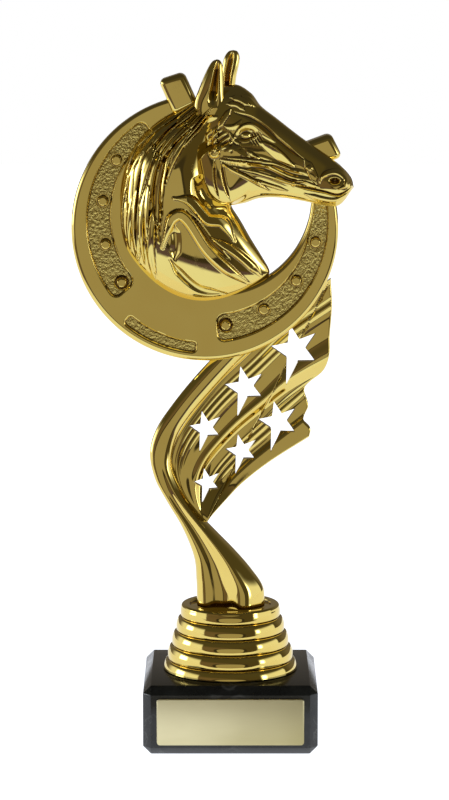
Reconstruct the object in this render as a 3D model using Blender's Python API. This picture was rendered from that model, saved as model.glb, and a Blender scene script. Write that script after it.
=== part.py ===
"""Horse trophy: a horse's head in a horseshoe, on a ribbon stem with star holes, a collar and a marble block.

Units are metres, +Z is up, and the origin is the middle of the block's underside. The front faces -Y.
"""
import bpy
import bmesh
import numpy as np
from math import cos, sin, pi, radians, degrees, hypot, atan2
from mathutils import Matrix, Vector

# Driving dimensions of the plinth
GAP = 0.0003                 # clearance between pieces that touch
BASE_SIDE = 0.050
BASE_HEIGHT = 0.020
BASE_CHAMFER = 0.0023
PLATE_WIDTH = 0.042
PLATE_HEIGHT = 0.0135
PLATE_THICKNESS = 0.0006
PLATE_CORNER = 0.0009
PLATE_BEVEL = 0.00025
COLLAR_TOP_RADIUS = 0.0145   # the highest ring's radius
COLLAR_RING_STEP = 0.00125   # each ring is this much wider than the one above it
COLLAR_RING_PITCH = 0.0042
COLLAR_MIDDLE_RINGS = 3
COLLAR_FOOT_RING = 0.0026    # heights of the lowest and the highest ring, which are cut short
COLLAR_TOP_RING = 0.00375
COLLAR_NOTCH = 0.00045       # depth of the grooves, from the ring above
COLLAR_SLOPE = 0.00032       # each ring's face leans in by this much, up to its shoulder
COLLAR_EDGE = 0.0007         # chamfer round the top
COLLAR_WALL = 0.0016
COLLAR_DISH = 0.0006         # the collar's top lies this far below its rim
COLLAR_RIM = 0.0018

# Driving dimensions of the figure, which is one moulding
FIGURE_HEIGHT = 0.1603       # from the stem's foot to the tip of the far ear
SHOE_THICKNESS = 0.005
SHOE_EDGE = 0.0016           # rounding of the horseshoe's front edges
SHOE_BACK_EDGE = 0.0008
CREASE_DEPTH = 0.0009        # depth of the stippled creases in the horseshoe
NAIL_DIAMETER = 0.0029
NAIL_RISE = 0.0007
CALK_THICKNESS = 0.008
CALK_EDGE = 0.0009
RIBBON_THICKNESS = 0.0028
STEM_DEPTH = 0.0125          # front to back, where the stem leaves the collar

# Number of facets
COLLAR_SEGMENTS = 28
RING_SHARES = (0, 0.09, 0.3, 0.6, 0.94)
SHOE_SEGMENTS = 40
HEAD_STEPS = (33, 30)
NECK_STEPS = (26, 40)
NEAR_SHARE = 0.7             # share of the head's and the neck's facets on the side that faces the front
STEM_STEPS = (20, 14)
RIBBON_STEPS = (18, 13)
EAR_STEPS = (8, 10)

# The figure's outlines are drawn as seen from the front: the foot at 39, the tip of the far ear at 199.3
DRAWN_FOOT = 39.0
DRAWN_HEIGHT = 160.3

base_top = BASE_HEIGHT
collar_foot = base_top + GAP
collar_height = COLLAR_FOOT_RING + COLLAR_MIDDLE_RINGS * COLLAR_RING_PITCH + COLLAR_TOP_RING
collar_top = collar_foot + collar_height
figure_foot = collar_top - COLLAR_DISH + GAP
unit = FIGURE_HEIGHT / DRAWN_HEIGHT


def clear_scene():
    for item in list(bpy.data.objects):
        bpy.data.objects.remove(item, do_unlink=True)


def material(name, colour, roughness, metallic):
    made = bpy.data.materials.new(name)
    made.use_nodes = True
    shader = made.node_tree.nodes["Principled BSDF"]
    shader.inputs["Base Color"].default_value = (*colour, 1.0)
    shader.inputs["Roughness"].default_value = roughness
    shader.inputs["Metallic"].default_value = metallic
    return made


def finish(name, bm, finish_material=None, smooth_angle=35):
    mesh = bpy.data.meshes.new(name)
    bmesh.ops.recalc_face_normals(bm, faces=bm.faces)
    bm.to_mesh(mesh)
    bm.free()
    item = bpy.data.objects.new(name, mesh)
    bpy.context.scene.collection.objects.link(item)
    if finish_material:
        mesh.materials.append(finish_material)
    mesh.shade_smooth()
    mesh.set_sharp_from_angle(angle=radians(smooth_angle))
    return item


def outer_shell(mesh):
    """Keep the largest shell: pockets that the joined forms enclose between them are solid in a moulding."""
    bm = bmesh.new()
    bm.from_mesh(mesh)
    left = set(bm.faces)
    shells = []
    while left:
        shell, front = set(), [left.pop()]
        while front:
            face = front.pop()
            shell.add(face)
            reached = {other for edge in face.edges for other in edge.link_faces if other in left}
            left -= reached
            front.extend(reached)
        shells.append(shell)
    shells.sort(key=len)
    for pocket in shells[:-1]:
        bmesh.ops.delete(bm, geom=list(pocket), context="FACES")
    bm.to_mesh(mesh)
    bm.free()


def fuse(item, smooth_angle=35):
    """Apply the item's Booleans, remove their helpers and mark the sharp edges that they made."""
    helpers = [cut.object for cut in item.modifiers]
    evaluated = item.evaluated_get(bpy.context.evaluated_depsgraph_get())
    item.data = bpy.data.meshes.new_from_object(evaluated)
    item.modifiers.clear()
    outer_shell(item.data)
    item.data.shade_smooth()
    item.data.set_sharp_from_angle(angle=radians(smooth_angle))
    for helper in helpers:
        bpy.data.objects.remove(helper, do_unlink=True)


def combine(target, operation, helper):
    helper.hide_render = True
    helper.display_type = "WIRE"
    cut = target.modifiers.new(operation.title() + " " + helper.name, "BOOLEAN")
    cut.operation = operation
    cut.object = helper
    cut.solver = "EXACT"


# Curves and profiles

def smooth_curve(points):
    """Return a function of 0..1 that runs smoothly through the points, paced by their distance."""
    knots = np.array(points, dtype=float)
    steps = np.linalg.norm(np.diff(knots, axis=0), axis=1)
    stations = np.concatenate(([0.0], np.cumsum(steps))) / steps.sum()

    def at(t):
        return np.array([smooth_value(stations, knots[:, axis], t) for axis in range(knots.shape[1])])
    return at


def smooth_value(stations, values, t):
    """Cubic interpolation through the values, level with its neighbours at each station."""
    t = min(max(t, stations[0]), stations[-1])
    i = min(int(np.searchsorted(stations, t, side="right")) - 1, len(stations) - 2)

    def slope(k):
        low, high = max(k - 1, 0), min(k + 1, len(stations) - 1)
        return (values[high] - values[low]) / (stations[high] - stations[low])
    span = stations[i + 1] - stations[i]
    s = (t - stations[i]) / span
    return ((1 + 2 * s) * (1 - s) ** 2 * values[i] + s * (1 - s) ** 2 * span * slope(i)
            + s * s * (3 - 2 * s) * values[i + 1] + s * s * (s - 1) * span * slope(i + 1))


def profile(*stops):
    """Return a smooth function of 0..1 from (share, value) stops."""
    stations, values = zip(*stops)
    return lambda t: smooth_value(stations, values, t)


def ease(low, high, value):
    s = min(max((value - low) / (high - low), 0.0), 1.0)
    return s * s * (3 - 2 * s)


def path_distance(path, x, z):
    """Nearest distance to a path, and how far along the path that is, as a share."""
    best, along = 1e9, 0.0
    last = len(path) - 1
    for k in range(last):
        (ax, az), (bx, bz) = path[k], path[k + 1]
        dx, dz = bx - ax, bz - az
        s = min(max(((x - ax) * dx + (z - az) * dz) / (dx * dx + dz * dz), 0.0), 1.0)
        distance = hypot(x - ax - s * dx, z - az - s * dz)
        if distance < best:
            best, along = distance, (k + s) / last
    return best, along


def ridge(path, half_width, height, x, z):
    """A rounded ridge along a path, thin at both of its ends."""
    distance, along = path_distance(path, x, z)
    taper = ease(0.0, 0.2, along) * ease(1.0, 0.75, along) * 0.75 + 0.25
    reach = half_width * taper
    return height * taper * max(0.0, 1 - (distance / reach) ** 2)


def dome(centre, radii, height, x, z):
    """A round swelling with a soft foot. A negative height makes a hollow."""
    d = hypot((x - centre[0]) / radii[0], (z - centre[1]) / radii[1])
    return height * ease(1.0, 0.0, d)


# Wrapped grids

def wrap(steps, surface):
    """A grid rolled into a tube: surface(u, v) gives the point at u along it and v around it."""
    along, around = steps
    bm = bmesh.new()
    bmesh.ops.create_grid(bm, x_segments=along, y_segments=around, size=0.5)
    for vert in bm.verts:
        vert.co = surface(vert.co.x + 0.5, (vert.co.y + 0.5) % 1.0 if vert.co.y < 0.4999 else 0.0)
    bmesh.ops.remove_doubles(bm, verts=bm.verts, dist=1e-6)
    bmesh.ops.holes_fill(bm, edges=[e for e in bm.edges if e.is_boundary])
    return bm


def thicken(bm, depth):
    """Extrude all faces straight back."""
    deep = bmesh.ops.extrude_face_region(bm, geom=bm.faces)
    moved = [v for v in deep["geom"] if isinstance(v, bmesh.types.BMVert)]
    bmesh.ops.translate(bm, vec=(0, depth, 0), verts=moved)


def place(x, y, z):
    """From drawn units to the figure's place on the collar."""
    return Vector((x * unit, y * unit, figure_foot + (z - DRAWN_FOOT) * unit))


# Marble block and its plate

def marble_base():
    bm = bmesh.new()
    bmesh.ops.create_cube(bm, size=1.0)
    bmesh.ops.scale(bm, vec=(BASE_SIDE, BASE_SIDE, BASE_HEIGHT), verts=bm.verts)
    bmesh.ops.translate(bm, vec=(0, 0, BASE_HEIGHT / 2), verts=bm.verts)
    bmesh.ops.bevel(bm, geom=bm.edges, offset=BASE_CHAMFER, segments=1, affect="EDGES", profile=0.5,
                    material=-1)
    black = material("black marble", (0.012, 0.014, 0.013), 0.12, 0.0)
    finish("marble_base", bm, black, smooth_angle=10)


def plate():
    bm = bmesh.new()
    bmesh.ops.create_cube(bm, size=1.0)
    bmesh.ops.scale(bm, vec=(PLATE_WIDTH, PLATE_THICKNESS, PLATE_HEIGHT), verts=bm.verts)
    corners = [e for e in bm.edges if abs(e.verts[0].co.y - e.verts[1].co.y) > PLATE_THICKNESS / 2]
    bmesh.ops.bevel(bm, geom=corners, offset=PLATE_CORNER, segments=3, affect="EDGES", profile=0.5,
                    material=-1)
    face = min(bm.faces, key=lambda f: f.calc_center_median().y)
    bmesh.ops.bevel(bm, geom=list(face.edges), offset=PLATE_BEVEL, segments=1, affect="EDGES", profile=0.5,
                    material=-1)
    depth = -BASE_SIDE / 2 - GAP - PLATE_THICKNESS / 2
    bmesh.ops.translate(bm, vec=(0, depth, BASE_HEIGHT / 2), verts=bm.verts)
    champagne = material("champagne metal", (0.62, 0.52, 0.30), 0.35, 1.0)
    finish("plate", bm, champagne, smooth_angle=30)


# Collar

def collar_side():
    """The ribbed side from foot to top, as (radius, height) points: each ring is widest near its foot."""
    section = profile((0, -COLLAR_NOTCH), (0.09, -0.15 * COLLAR_NOTCH), (0.24, 0), (0.8, -COLLAR_SLOPE),
                      (0.94, -1.8 * COLLAR_SLOPE), (1, -COLLAR_NOTCH - COLLAR_RING_STEP))
    count = COLLAR_MIDDLE_RINGS + 2
    points = [(COLLAR_TOP_RADIUS + (count - 1) * COLLAR_RING_STEP
               + section(1 - COLLAR_FOOT_RING / COLLAR_RING_PITCH), collar_foot)]
    for ring in range(count):
        radius = COLLAR_TOP_RADIUS + (count - 1 - ring) * COLLAR_RING_STEP
        for share in RING_SHARES:
            height = COLLAR_FOOT_RING + (ring - 1 + share) * COLLAR_RING_PITCH
            if 0 < height < collar_height - COLLAR_EDGE:
                points.append((radius + section(share), collar_foot + height))
    points.append((COLLAR_TOP_RADIUS - COLLAR_SLOPE, collar_top - COLLAR_EDGE))
    points.append((COLLAR_TOP_RADIUS - COLLAR_EDGE, collar_top))
    return points


def collar():
    outer = collar_side()
    top = outer[-1][0]
    dish = [(top - COLLAR_RIM / 2, collar_top), (top - COLLAR_RIM, collar_top - COLLAR_DISH)]
    crown = [(0.0, collar_top - COLLAR_DISH), (0.0, collar_top - COLLAR_DISH - COLLAR_WALL)]
    inner_top = top - COLLAR_WALL - COLLAR_NOTCH
    inner_foot = outer[0][0] - COLLAR_WALL
    inner = [(inner_top, collar_top - COLLAR_DISH - COLLAR_WALL), (inner_foot, collar_foot)]
    bm = bmesh.new()
    verts = [bm.verts.new((r, 0, z)) for r, z in outer + dish + crown + inner]
    edges = [bm.edges.new(pair) for pair in zip(verts, verts[1:] + verts[:1])]
    bmesh.ops.spin(bm, geom=verts + edges, cent=(0, 0, 0), axis=(0, 0, 1), angle=2 * pi,
                   steps=COLLAR_SEGMENTS, use_merge=True, use_duplicate=False)
    bmesh.ops.remove_doubles(bm, verts=bm.verts, dist=1e-6)
    axis_edges = [e for e in bm.edges if not e.link_faces]
    bmesh.ops.delete(bm, geom=axis_edges, context="EDGES")
    finish("collar", bm, gold, smooth_angle=50)


# Stem and ribbon

STEM_LEFT = smooth_curve([(-9.7, 39), (-9.9, 46), (-10.6, 53), (-14, 61.7), (-18.6, 69.6), (-21.9, 76),
                          (-23.3, 83.5), (-21.5, 90.2), (-17.4, 96.6), (-10.9, 104.8), (-3.5, 112.8),
                          (3, 119)])
STEM_RIGHT = smooth_curve([(10, 39), (9.6, 44), (6.4, 49), (1.7, 54.5), (-4.6, 61), (-9.7, 66.4), (-14, 72.5),
                           (-16.9, 80), (-15.6, 87.8), (-11.6, 94.4), (-5.2, 102), (1.2, 109), (8, 116)])
stem_depth = profile((0, 1.0), (0.2, 0.85), (0.4, 0.5), (0.6, 0.36), (1.0, 0.36))
stem_back = profile((0, 0.0), (0.35, 0.4), (0.6, 1.2), (1.0, 1.9))
STEM_HOLLOW = 0.34           # depth of the hollow that runs up the twist, as a share of the stem's own depth
STEM_RIDGE = 0.2             # height of the ridge beside it


def stem():
    half_depth = STEM_DEPTH / 2 / unit

    def surface(u, v):
        left, right = STEM_LEFT(u), STEM_RIGHT(u)
        angle = 2 * pi * v
        across = (1 - cos(angle)) / 2
        x, z = left + (right - left) * across
        round_off = abs(sin(angle)) ** 0.75
        depth = half_depth * stem_depth(u)
        twist = ease(0.75, 0.0, u) * (dome((0.36, 0), (0.3, 1), -STEM_HOLLOW, across, 0)
                                      + dome((0.72, 0), (0.28, 1), STEM_RIDGE, across, 0))
        y = -depth * round_off * (1 + twist) if sin(angle) >= 0 else depth * round_off
        return place(x, y + stem_back(u), z)
    bm = wrap(STEM_STEPS, surface)
    return finish("stem", bm)


RIBBON_UPPER = smooth_curve([(-8.2, 62.8), (-12.6, 68.5), (-16.2, 75.2), (-17.4, 81), (-15.6, 87.8),
                             (-11.6, 94.4), (-3.9, 104), (5.3, 113), (16, 124), (28.9, 134)])
RIBBON_LOWER = smooth_curve([(-6.8, 62.8), (-5.3, 64.8), (-1.5, 68.9), (3.8, 74.3), (11.6, 80.4),
                             (22.9, 87.6)])
RIBBON_END = smooth_curve([(28.9, 134), (29.3, 126), (28.7, 117), (28.6, 112), (27, 107), (21.6, 101.8),
                           (22.6, 96.5), (21.2, 92.6), (23.2, 90), (22.9, 87.6)])
STARS = [((18.8, 113.2), 9.6), ((4.3, 102.2), 8.1), ((-7.1, 90.3), 6.6),
         ((14.0, 91.7), 8.1), ((3.3, 83.2), 6.5), ((-6.7, 74.1), 5.5)]
STAR_POINTS = [(-0.17, 0.77), (0.62, 0.51), (0.59, -0.33), (-0.28, -1.06), (-0.76, 0.12)]
STAR_WAIST = 0.5             # the inner corners lie this share of the way out to the line between two points
STAR_REACH = 15              # the cutters run this far in front of the figure's middle and behind it
RIBBON_FRONT = 1.2           # y of the ribbon's front at its root
RIBBON_FOLD = 2.6            # the lower field lies this far behind the upper one
RIBBON_BORDER = 1.0          # and its border comes forward again by this much
RIPPLE_HEIGHT = 0.45
RIPPLES = 4.5


def ribbon_point(u, v):
    upper, lower = RIBBON_UPPER(u), RIBBON_LOWER(u)
    end_shift = RIBBON_END(v) - (RIBBON_UPPER(1) + (RIBBON_LOWER(1) - RIBBON_UPPER(1)) * v)
    x, z = upper + (lower - upper) * v + end_shift * u ** 4
    spread = ease(0.0, 0.35, u)
    fold = RIBBON_FOLD * ease(0.44, 0.56, v) - RIBBON_BORDER * ease(0.84, 0.92, v)
    ripple = RIPPLE_HEIGHT * cos(2 * pi * (v * RIPPLES + 0.35 * u))
    return place(x, RIBBON_FRONT + spread * (fold + ripple) + 0.9 * u, z)


def ribbon():
    bm = bmesh.new()
    bmesh.ops.create_grid(bm, x_segments=RIBBON_STEPS[0], y_segments=RIBBON_STEPS[1], size=0.5)
    for vert in bm.verts:
        vert.co = ribbon_point(vert.co.x + 0.5, vert.co.y + 0.5)
    thicken(bm, RIBBON_THICKNESS)
    return finish("ribbon", bm)


def star_cutter(index, centre, size):
    """A skewed five-pointed hole, cut straight through from front to back."""
    tips = [Vector((centre[0] + px * size, centre[1] + pz * size)) for px, pz in STAR_POINTS]
    outline = []
    for tip, following in zip(tips, tips[1:] + tips[:1]):
        outline.append(tip)
        middle = (tip + following) / 2
        outline.append(Vector(centre) + (middle - Vector(centre)) * STAR_WAIST)
    bm = bmesh.new()
    bm.faces.new([bm.verts.new(place(p.x, -STAR_REACH, p.y)) for p in outline])
    thicken(bm, 2 * STAR_REACH * unit)
    return finish("star hole %d" % index, bm)


# Horseshoe

SHOE_CENTRE = (-7.3, 148.8)
SHOE_TILT = radians(22.5)
SHOE_OUTER = 38.2
SHOE_INNER = 26.7
SHOE_INNER_SHIFT = 9.5       # the inner arc's centre lies this far towards the heels
HEEL_OUTER = (24.0, 30.0)
HEEL_INNER = (16.5, 34.0)
NAILS = [(30.7, 8.5), (29.9, -3.8), (24.5, -15.0), (16.1, -23.4)]
NAIL_FLARE = 1.25            # a nail's foot and its flat top, as shares of its diameter
NAIL_TOP = 0.85
CALK_OUTLINE = [(22.6, 38.9), (28.3, 34.0), (20.4, 26.4), (15.4, 32.2)]
# The creases' arcs: how far the centre lies towards the heels, the radius, and both end angles in degrees
CREASE_OUTER = (2.0, 34.7, 33, -61)
CREASE_INNER = (4.0, 28.3, -66, 36)
CREASE_CORNER = 2.2
TOE_OUTER = (0, 36.0, -109, -69)
TOE_INNER = (0, 32.5, -70, -108)
TOE_CORNER = 1.2


def shoe_place(across, y, along):
    """From the horseshoe's own axes, heels up, to the tilted horseshoe of the figure."""
    x = SHOE_CENTRE[0] + across * cos(SHOE_TILT) + along * sin(SHOE_TILT)
    z = SHOE_CENTRE[1] - across * sin(SHOE_TILT) + along * cos(SHOE_TILT)
    return place(x, y, z)


def arc(centre_along, radius, start, end, count):
    angles = [radians(start + (end - start) * k / (count - 1)) for k in range(count)]
    return [(radius * cos(a), centre_along + radius * sin(a)) for a in angles]


def slab(outline, front, back):
    """An outline in the horseshoe's axes, extruded from front to back."""
    bm = bmesh.new()
    bm.faces.new([bm.verts.new(shoe_place(a, front, b)) for a, b in outline])
    thicken(bm, (back - front) * unit)
    return bm


def level_edges(bm, y):
    return [e for e in bm.edges if all(abs(v.co.y - y * unit) < 1e-6 for v in e.verts)]


def shoe_body(half):
    heel = degrees(atan2(HEEL_OUTER[1], HEEL_OUTER[0]))
    inner_heel = degrees(atan2(HEEL_OUTER[1] - SHOE_INNER_SHIFT, HEEL_INNER[0] + 0.6))
    outer = arc(0, SHOE_OUTER, heel, -180 - heel, SHOE_SEGMENTS)
    inner = arc(SHOE_INNER_SHIFT, SHOE_INNER, -180 - inner_heel, inner_heel, SHOE_SEGMENTS * 2 // 3)
    outline = outer + [(-HEEL_INNER[0], HEEL_INNER[1])] + inner + [HEEL_INNER]
    bm = slab(outline, -half, half)
    for y, width, steps in ((-half, SHOE_EDGE, 2), (half, SHOE_BACK_EDGE, 1)):
        bmesh.ops.bevel(bm, geom=level_edges(bm, y), offset=width, segments=steps, affect="EDGES",
                        profile=0.5, material=-1, clamp_overlap=True)
    return finish("horseshoe", bm)


def sunk(name, outline, half, corner):
    """A cutter for a crease with rounded corners. It starts well in front of the horseshoe."""
    bm = slab(outline, -2 * half, -half + CREASE_DEPTH / unit)
    upright = [e for e in bm.edges if abs(e.verts[0].co.y - e.verts[1].co.y) > unit]
    sharp = [e for e in upright if e.calc_face_angle() > radians(50)]
    bmesh.ops.bevel(bm, geom=sharp, offset=corner * unit, segments=3, affect="EDGES", profile=0.5,
                    material=-1)
    return finish(name, bm)


def nail(index, across, along, half):
    bm = bmesh.new()
    depth = NAIL_RISE + 1.3 * CREASE_DEPTH
    radius = NAIL_DIAMETER / 2
    bmesh.ops.create_cone(bm, segments=10, cap_ends=True, radius1=radius * NAIL_FLARE,
                          radius2=radius * NAIL_TOP, depth=depth)
    bmesh.ops.rotate(bm, matrix=Matrix.Rotation(pi / 2, 3, "X"), verts=bm.verts)
    middle = shoe_place(across, -half, along)
    middle.y += 1.3 * CREASE_DEPTH - depth / 2
    bmesh.ops.translate(bm, vec=middle, verts=bm.verts)
    return finish("nail %d" % index, bm)


def calk(side):
    """The square stud at the end of one branch, flared outwards."""
    half = CALK_THICKNESS / 2 / unit
    bm = slab([(a * side, b) for a, b in CALK_OUTLINE], -half, half)
    bmesh.ops.bevel(bm, geom=bm.edges, offset=CALK_EDGE, segments=2, affect="EDGES", profile=0.5,
                    material=-1)
    return finish("calk %s" % ("left" if side < 0 else "right"), bm)


def horseshoe():
    half = SHOE_THICKNESS / 2 / unit
    shoe = shoe_body(half)
    crease = arc(*CREASE_OUTER, 12) + arc(*CREASE_INNER, 12)
    combine(shoe, "DIFFERENCE", sunk("right crease", crease, half, CREASE_CORNER))
    combine(shoe, "DIFFERENCE", sunk("left crease", [(-a, b) for a, b in crease], half, CREASE_CORNER))
    toe = arc(*TOE_OUTER, 9) + arc(*TOE_INNER, 9)
    combine(shoe, "DIFFERENCE", sunk("toe crease", toe, half, TOE_CORNER))
    spots = [(a * side, b) for side in (-1, 1) for a, b in NAILS]
    for index, (across, along) in enumerate(spots):
        combine(shoe, "UNION", nail(index, across, along, half))
    for side in (-1, 1):
        combine(shoe, "UNION", calk(side))
    fuse(shoe)
    return shoe


# Horse's head

HEAD_YAW = radians(10)       # the muzzle comes forward
HEAD_AXIS = (-4.0, 0.0)      # x and y of the poll, where the head turns
HEAD_TOP = smooth_curve([(-8.5, 183), (-5, 187.6), (1.2, 189.8), (5.8, 187.4), (8.6, 183.8), (13, 180.4),
                         (19.8, 175.2), (26.5, 170.6), (31.4, 167), (34.2, 163.8), (35, 161)])
HEAD_BOTTOM = smooth_curve([(-9, 176), (-8.6, 167), (-6.4, 158.8), (-1.6, 155.6), (3.6, 156), (8.5, 157.6),
                            (14.5, 157.8), (20.5, 157), (26.3, 155.9), (31, 156), (35, 161)])
head_width = profile((0, 3), (0.12, 6.4), (0.3, 8), (0.45, 7.6), (0.62, 5.6), (0.78, 4.9), (0.9, 5.3),
                     (0.97, 3.8), (1, 0))
HEAD_SQUARENESS = 0.7        # the lower, the squarer the head's section
JAW_NARROWING = 0.22         # the jaw is this share narrower than the brow
CHEEK = (-1.4, 165.2)
CHEEK_RADIUS = 8.6
CHEEK_RISE = 1.5


def head_relief(x, z):
    """How far the carving stands out from the head's side, at a place seen from the front."""
    d = hypot((x - CHEEK[0]), (z - CHEEK[1])) / CHEEK_RADIUS
    relief = CHEEK_RISE * ease(1.12, 0.88, d)
    relief += dome((3.8, 176.8), (5.2, 4.2), -2.2, x, z)
    relief += dome((3.6, 176.8), (2.9, 2.3), 2.4, x, z)
    relief += ridge([(-0.4, 178.6), (3.2, 180.9), (7.6, 179.4), (11.5, 176)], 1.7, 1.4, x, z)
    relief += ridge([(8.5, 172.6), (14, 170.2), (19.5, 166.6), (25, 163.4)], 1.9, 1.0, x, z)
    relief += ridge([(27.4, 164.6), (29.6, 166), (32.4, 164.6), (32.4, 161.6), (28.6, 160.8)], 1.6, 1.1, x, z)
    relief += dome((29.9, 163.2), (2.4, 1.6), -1.8, x, z)
    relief += ridge([(16.5, 161.4), (25, 159.6), (31, 157.8), (34, 160.2)], 0.9, -0.8, x, z)
    relief += dome((-3.2, 170), (2.0, 2.0), 1.3, x, z)
    relief += ridge([(-3.2, 178.5), (-3.2, 170), (-2.0, 158)], 1.0, 0.7, x, z)
    relief += ridge([(-3.2, 170), (5, 168.3), (12.2, 166.4), (18.5, 165)], 1.0, 0.7, x, z)
    return relief


def head():
    def surface(u, v):
        top, bottom = HEAD_TOP(u), HEAD_BOTTOM(u)
        angle = pi * v / NEAR_SHARE if v < NEAR_SHARE else pi * (1 + (v - NEAR_SHARE) / (1 - NEAR_SHARE))
        down = (1 - cos(angle)) / 2
        x, z = top + (bottom - top) * down
        bulge = abs(sin(angle)) ** HEAD_SQUARENESS
        carved = head_relief(x, z) * ease(0.0, 0.08, 1 - u)
        out = bulge * (head_width(u) * (1 - JAW_NARROWING * down) + carved)
        side = -1 if sin(angle) > 0 else 1
        reach = (x - HEAD_AXIS[0]) / cos(HEAD_YAW)
        return place(x + side * out * sin(HEAD_YAW) * 0.5,
                     HEAD_AXIS[1] - reach * sin(HEAD_YAW) + side * out * cos(HEAD_YAW), z)
    return finish("head", wrap(HEAD_STEPS, surface))


NEAR_EAR = (smooth_curve([(-10.4, 181.6), (-10.1, 185.4), (-8.9, 188.8), (-7.6, 192), (-6.1, 195.1),
                          (-5, 196.6), (-3.8, 197.1)]),
            smooth_curve([(-1.4, 181.6), (-1.7, 186), (-1.9, 190), (-2.1, 193.6), (-2.4, 195.8),
                          (-3, 196.8), (-3.8, 197.1)]))
FAR_EAR = (smooth_curve([(-3.4, 184), (-2.8, 188), (-2.6, 192.4), (-2, 196), (-1, 198), (0.9, 199.3)]),
           smooth_curve([(1.4, 184), (1.3, 188.4), (1.7, 192), (2.4, 195.2), (2.5, 197.6), (0.9, 199.3)]))
EAR_DEPTH = 2.0
EAR_HOLLOW = 1.3             # depth of the hollow, as a share of the ear's depth in front of its middle
ear_swell = profile((0, 1), (0.4, 1), (0.7, 0.8), (0.9, 0.5), (1, 0.1))


def ear(name, sides, middle, hollow_at):
    """An ear between its left and its right outline, hollowed in front around a share of its width."""
    def surface(u, v):
        left, right = sides[0](u), sides[1](u)
        angle = 2 * pi * v
        across = (1 - cos(angle)) / 2
        x, z = left + (right - left) * across
        hollow = EAR_HOLLOW * ease(0.3, 0.0, abs(across - hollow_at)) * ease(0.1, 0.4, u)
        hollow *= ease(0.97, 0.75, u)
        depth = EAR_DEPTH * ear_swell(u)
        y = -depth * sin(angle) ** 0.8 * (1 - hollow) if sin(angle) > 0 else -depth * sin(angle)
        return place(x, middle + y, z)
    return finish(name, wrap(EAR_STEPS, surface))


# Neck and mane

NECK_CREST = smooth_curve([(-5.5, 187), (-9.2, 186.2), (-14.6, 183), (-22.6, 177.6), (-28.2, 170.6),
                           (-30.8, 161.6), (-31.6, 152), (-30.9, 145.5), (-29.6, 141.8)])
NECK_THROAT = smooth_curve([(0, 182), (-1, 172), (-2, 162), (0.2, 155.4), (2.8, 151.2), (6, 145.6),
                            (9.2, 140.4), (11.2, 136.6), (10.6, 134.4)])
NECK_SAG = 10.6              # how far the cut at the foot of the neck hangs below its two ends
neck_front = profile((0, 4.0), (0.2, 6.8), (0.45, 8.6), (0.7, 8.2), (0.86, 6.4), (0.95, 3.8), (1, 0.4))
neck_back = profile((0, 4.0), (0.28, 7.2), (0.6, 4.8), (0.85, 1.8), (1, 0.3))
LOCKS_ROUND = 14             # locks across the near side, if the mane covered all of it
MANE_LOCKS = 8
LOCK_HEIGHT = 2.0
NECK_SQUARENESS = 0.42       # the lower, the squarer the neck's section
NECK_HOLLOW = 0.36           # the throat side is this share thinner, above the muscles
NECK_LEAN = 1.4              # the neck's foot comes forward by this much


def mane_lock(u, column):
    """Height of the lock at one place of the mane: each lock ends at a height of its own."""
    number = int(column * LOCKS_ROUND)
    if not 0 < number <= MANE_LOCKS:
        return 0.0
    root = 0.04 + 0.024 * number
    tip = 0.95 - 0.055 * number + 0.05 * sin(2.4 * number)
    section = sin(pi * (column * LOCKS_ROUND - number))
    return LOCK_HEIGHT * section * ease(root, root + 0.1, u) * ease(tip, tip - 0.14, u)


def neck_relief(lock, x, z):
    """How far locks and muscles stand out from the neck."""
    strap = ridge([(-16, 158.4), (-10.5, 153), (-3, 147), (3, 139), (6.5, 133.5)], 2.8, 2.2, x, z)
    arch = ridge([(-17.2, 146.5), (-15.4, 153), (-12.6, 159), (-8.4, 152.4), (-4.4, 146), (6.1, 132.5)],
                 2.4, 1.6, x, z)
    return max(lock, strap, arch)


def neck():
    def surface(u, v):
        crest, throat = NECK_CREST(u), NECK_THROAT(u)
        near = v < NEAR_SHARE
        column = v / NEAR_SHARE if near else (1 - v) / (1 - NEAR_SHARE)
        across = (column + (1 - cos(pi * column)) / 2) / 2
        chord = throat - crest
        sag = NECK_SAG * ease(0.45, 1.0, u) * 4 * across * (1 - across)
        x, z = crest + chord * across + np.array((chord[1], -chord[0])) / np.linalg.norm(chord) * sag
        round_off = (4 * across * (1 - across)) ** NECK_SQUARENESS
        hollow = 1 - NECK_HOLLOW * ease(0.45, 0.95, across) * ease(0.8, 0.45, u)
        middle = 0.4 - NECK_LEAN * u
        if near:
            flat = ease(1.0, 0.88, u)
            y = middle - round_off * (neck_front(u) * hollow + neck_relief(mane_lock(u, column), x, z) * flat)
        else:
            y = middle + round_off * neck_back(u)
        return place(x, y, z)
    return finish("neck", wrap(NECK_STEPS, surface))


def figure():
    body = ribbon()
    body.name = "figure"
    body.data.materials.append(gold)
    for index, (centre, size) in enumerate(STARS):
        combine(body, "DIFFERENCE", star_cutter(index, centre, size))
    combine(body, "UNION", stem())
    combine(body, "UNION", horseshoe())
    combine(body, "UNION", neck())
    combine(body, "UNION", head())
    combine(body, "UNION", ear("near ear", NEAR_EAR, -4.2, 0.58))
    combine(body, "UNION", ear("far ear", FAR_EAR, 3.6, 0.4))
    fuse(body)


clear_scene()
gold = material("gold plating", (0.80, 0.58, 0.20), 0.12, 1.0)
marble_base()
plate()
collar()
figure()
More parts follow.
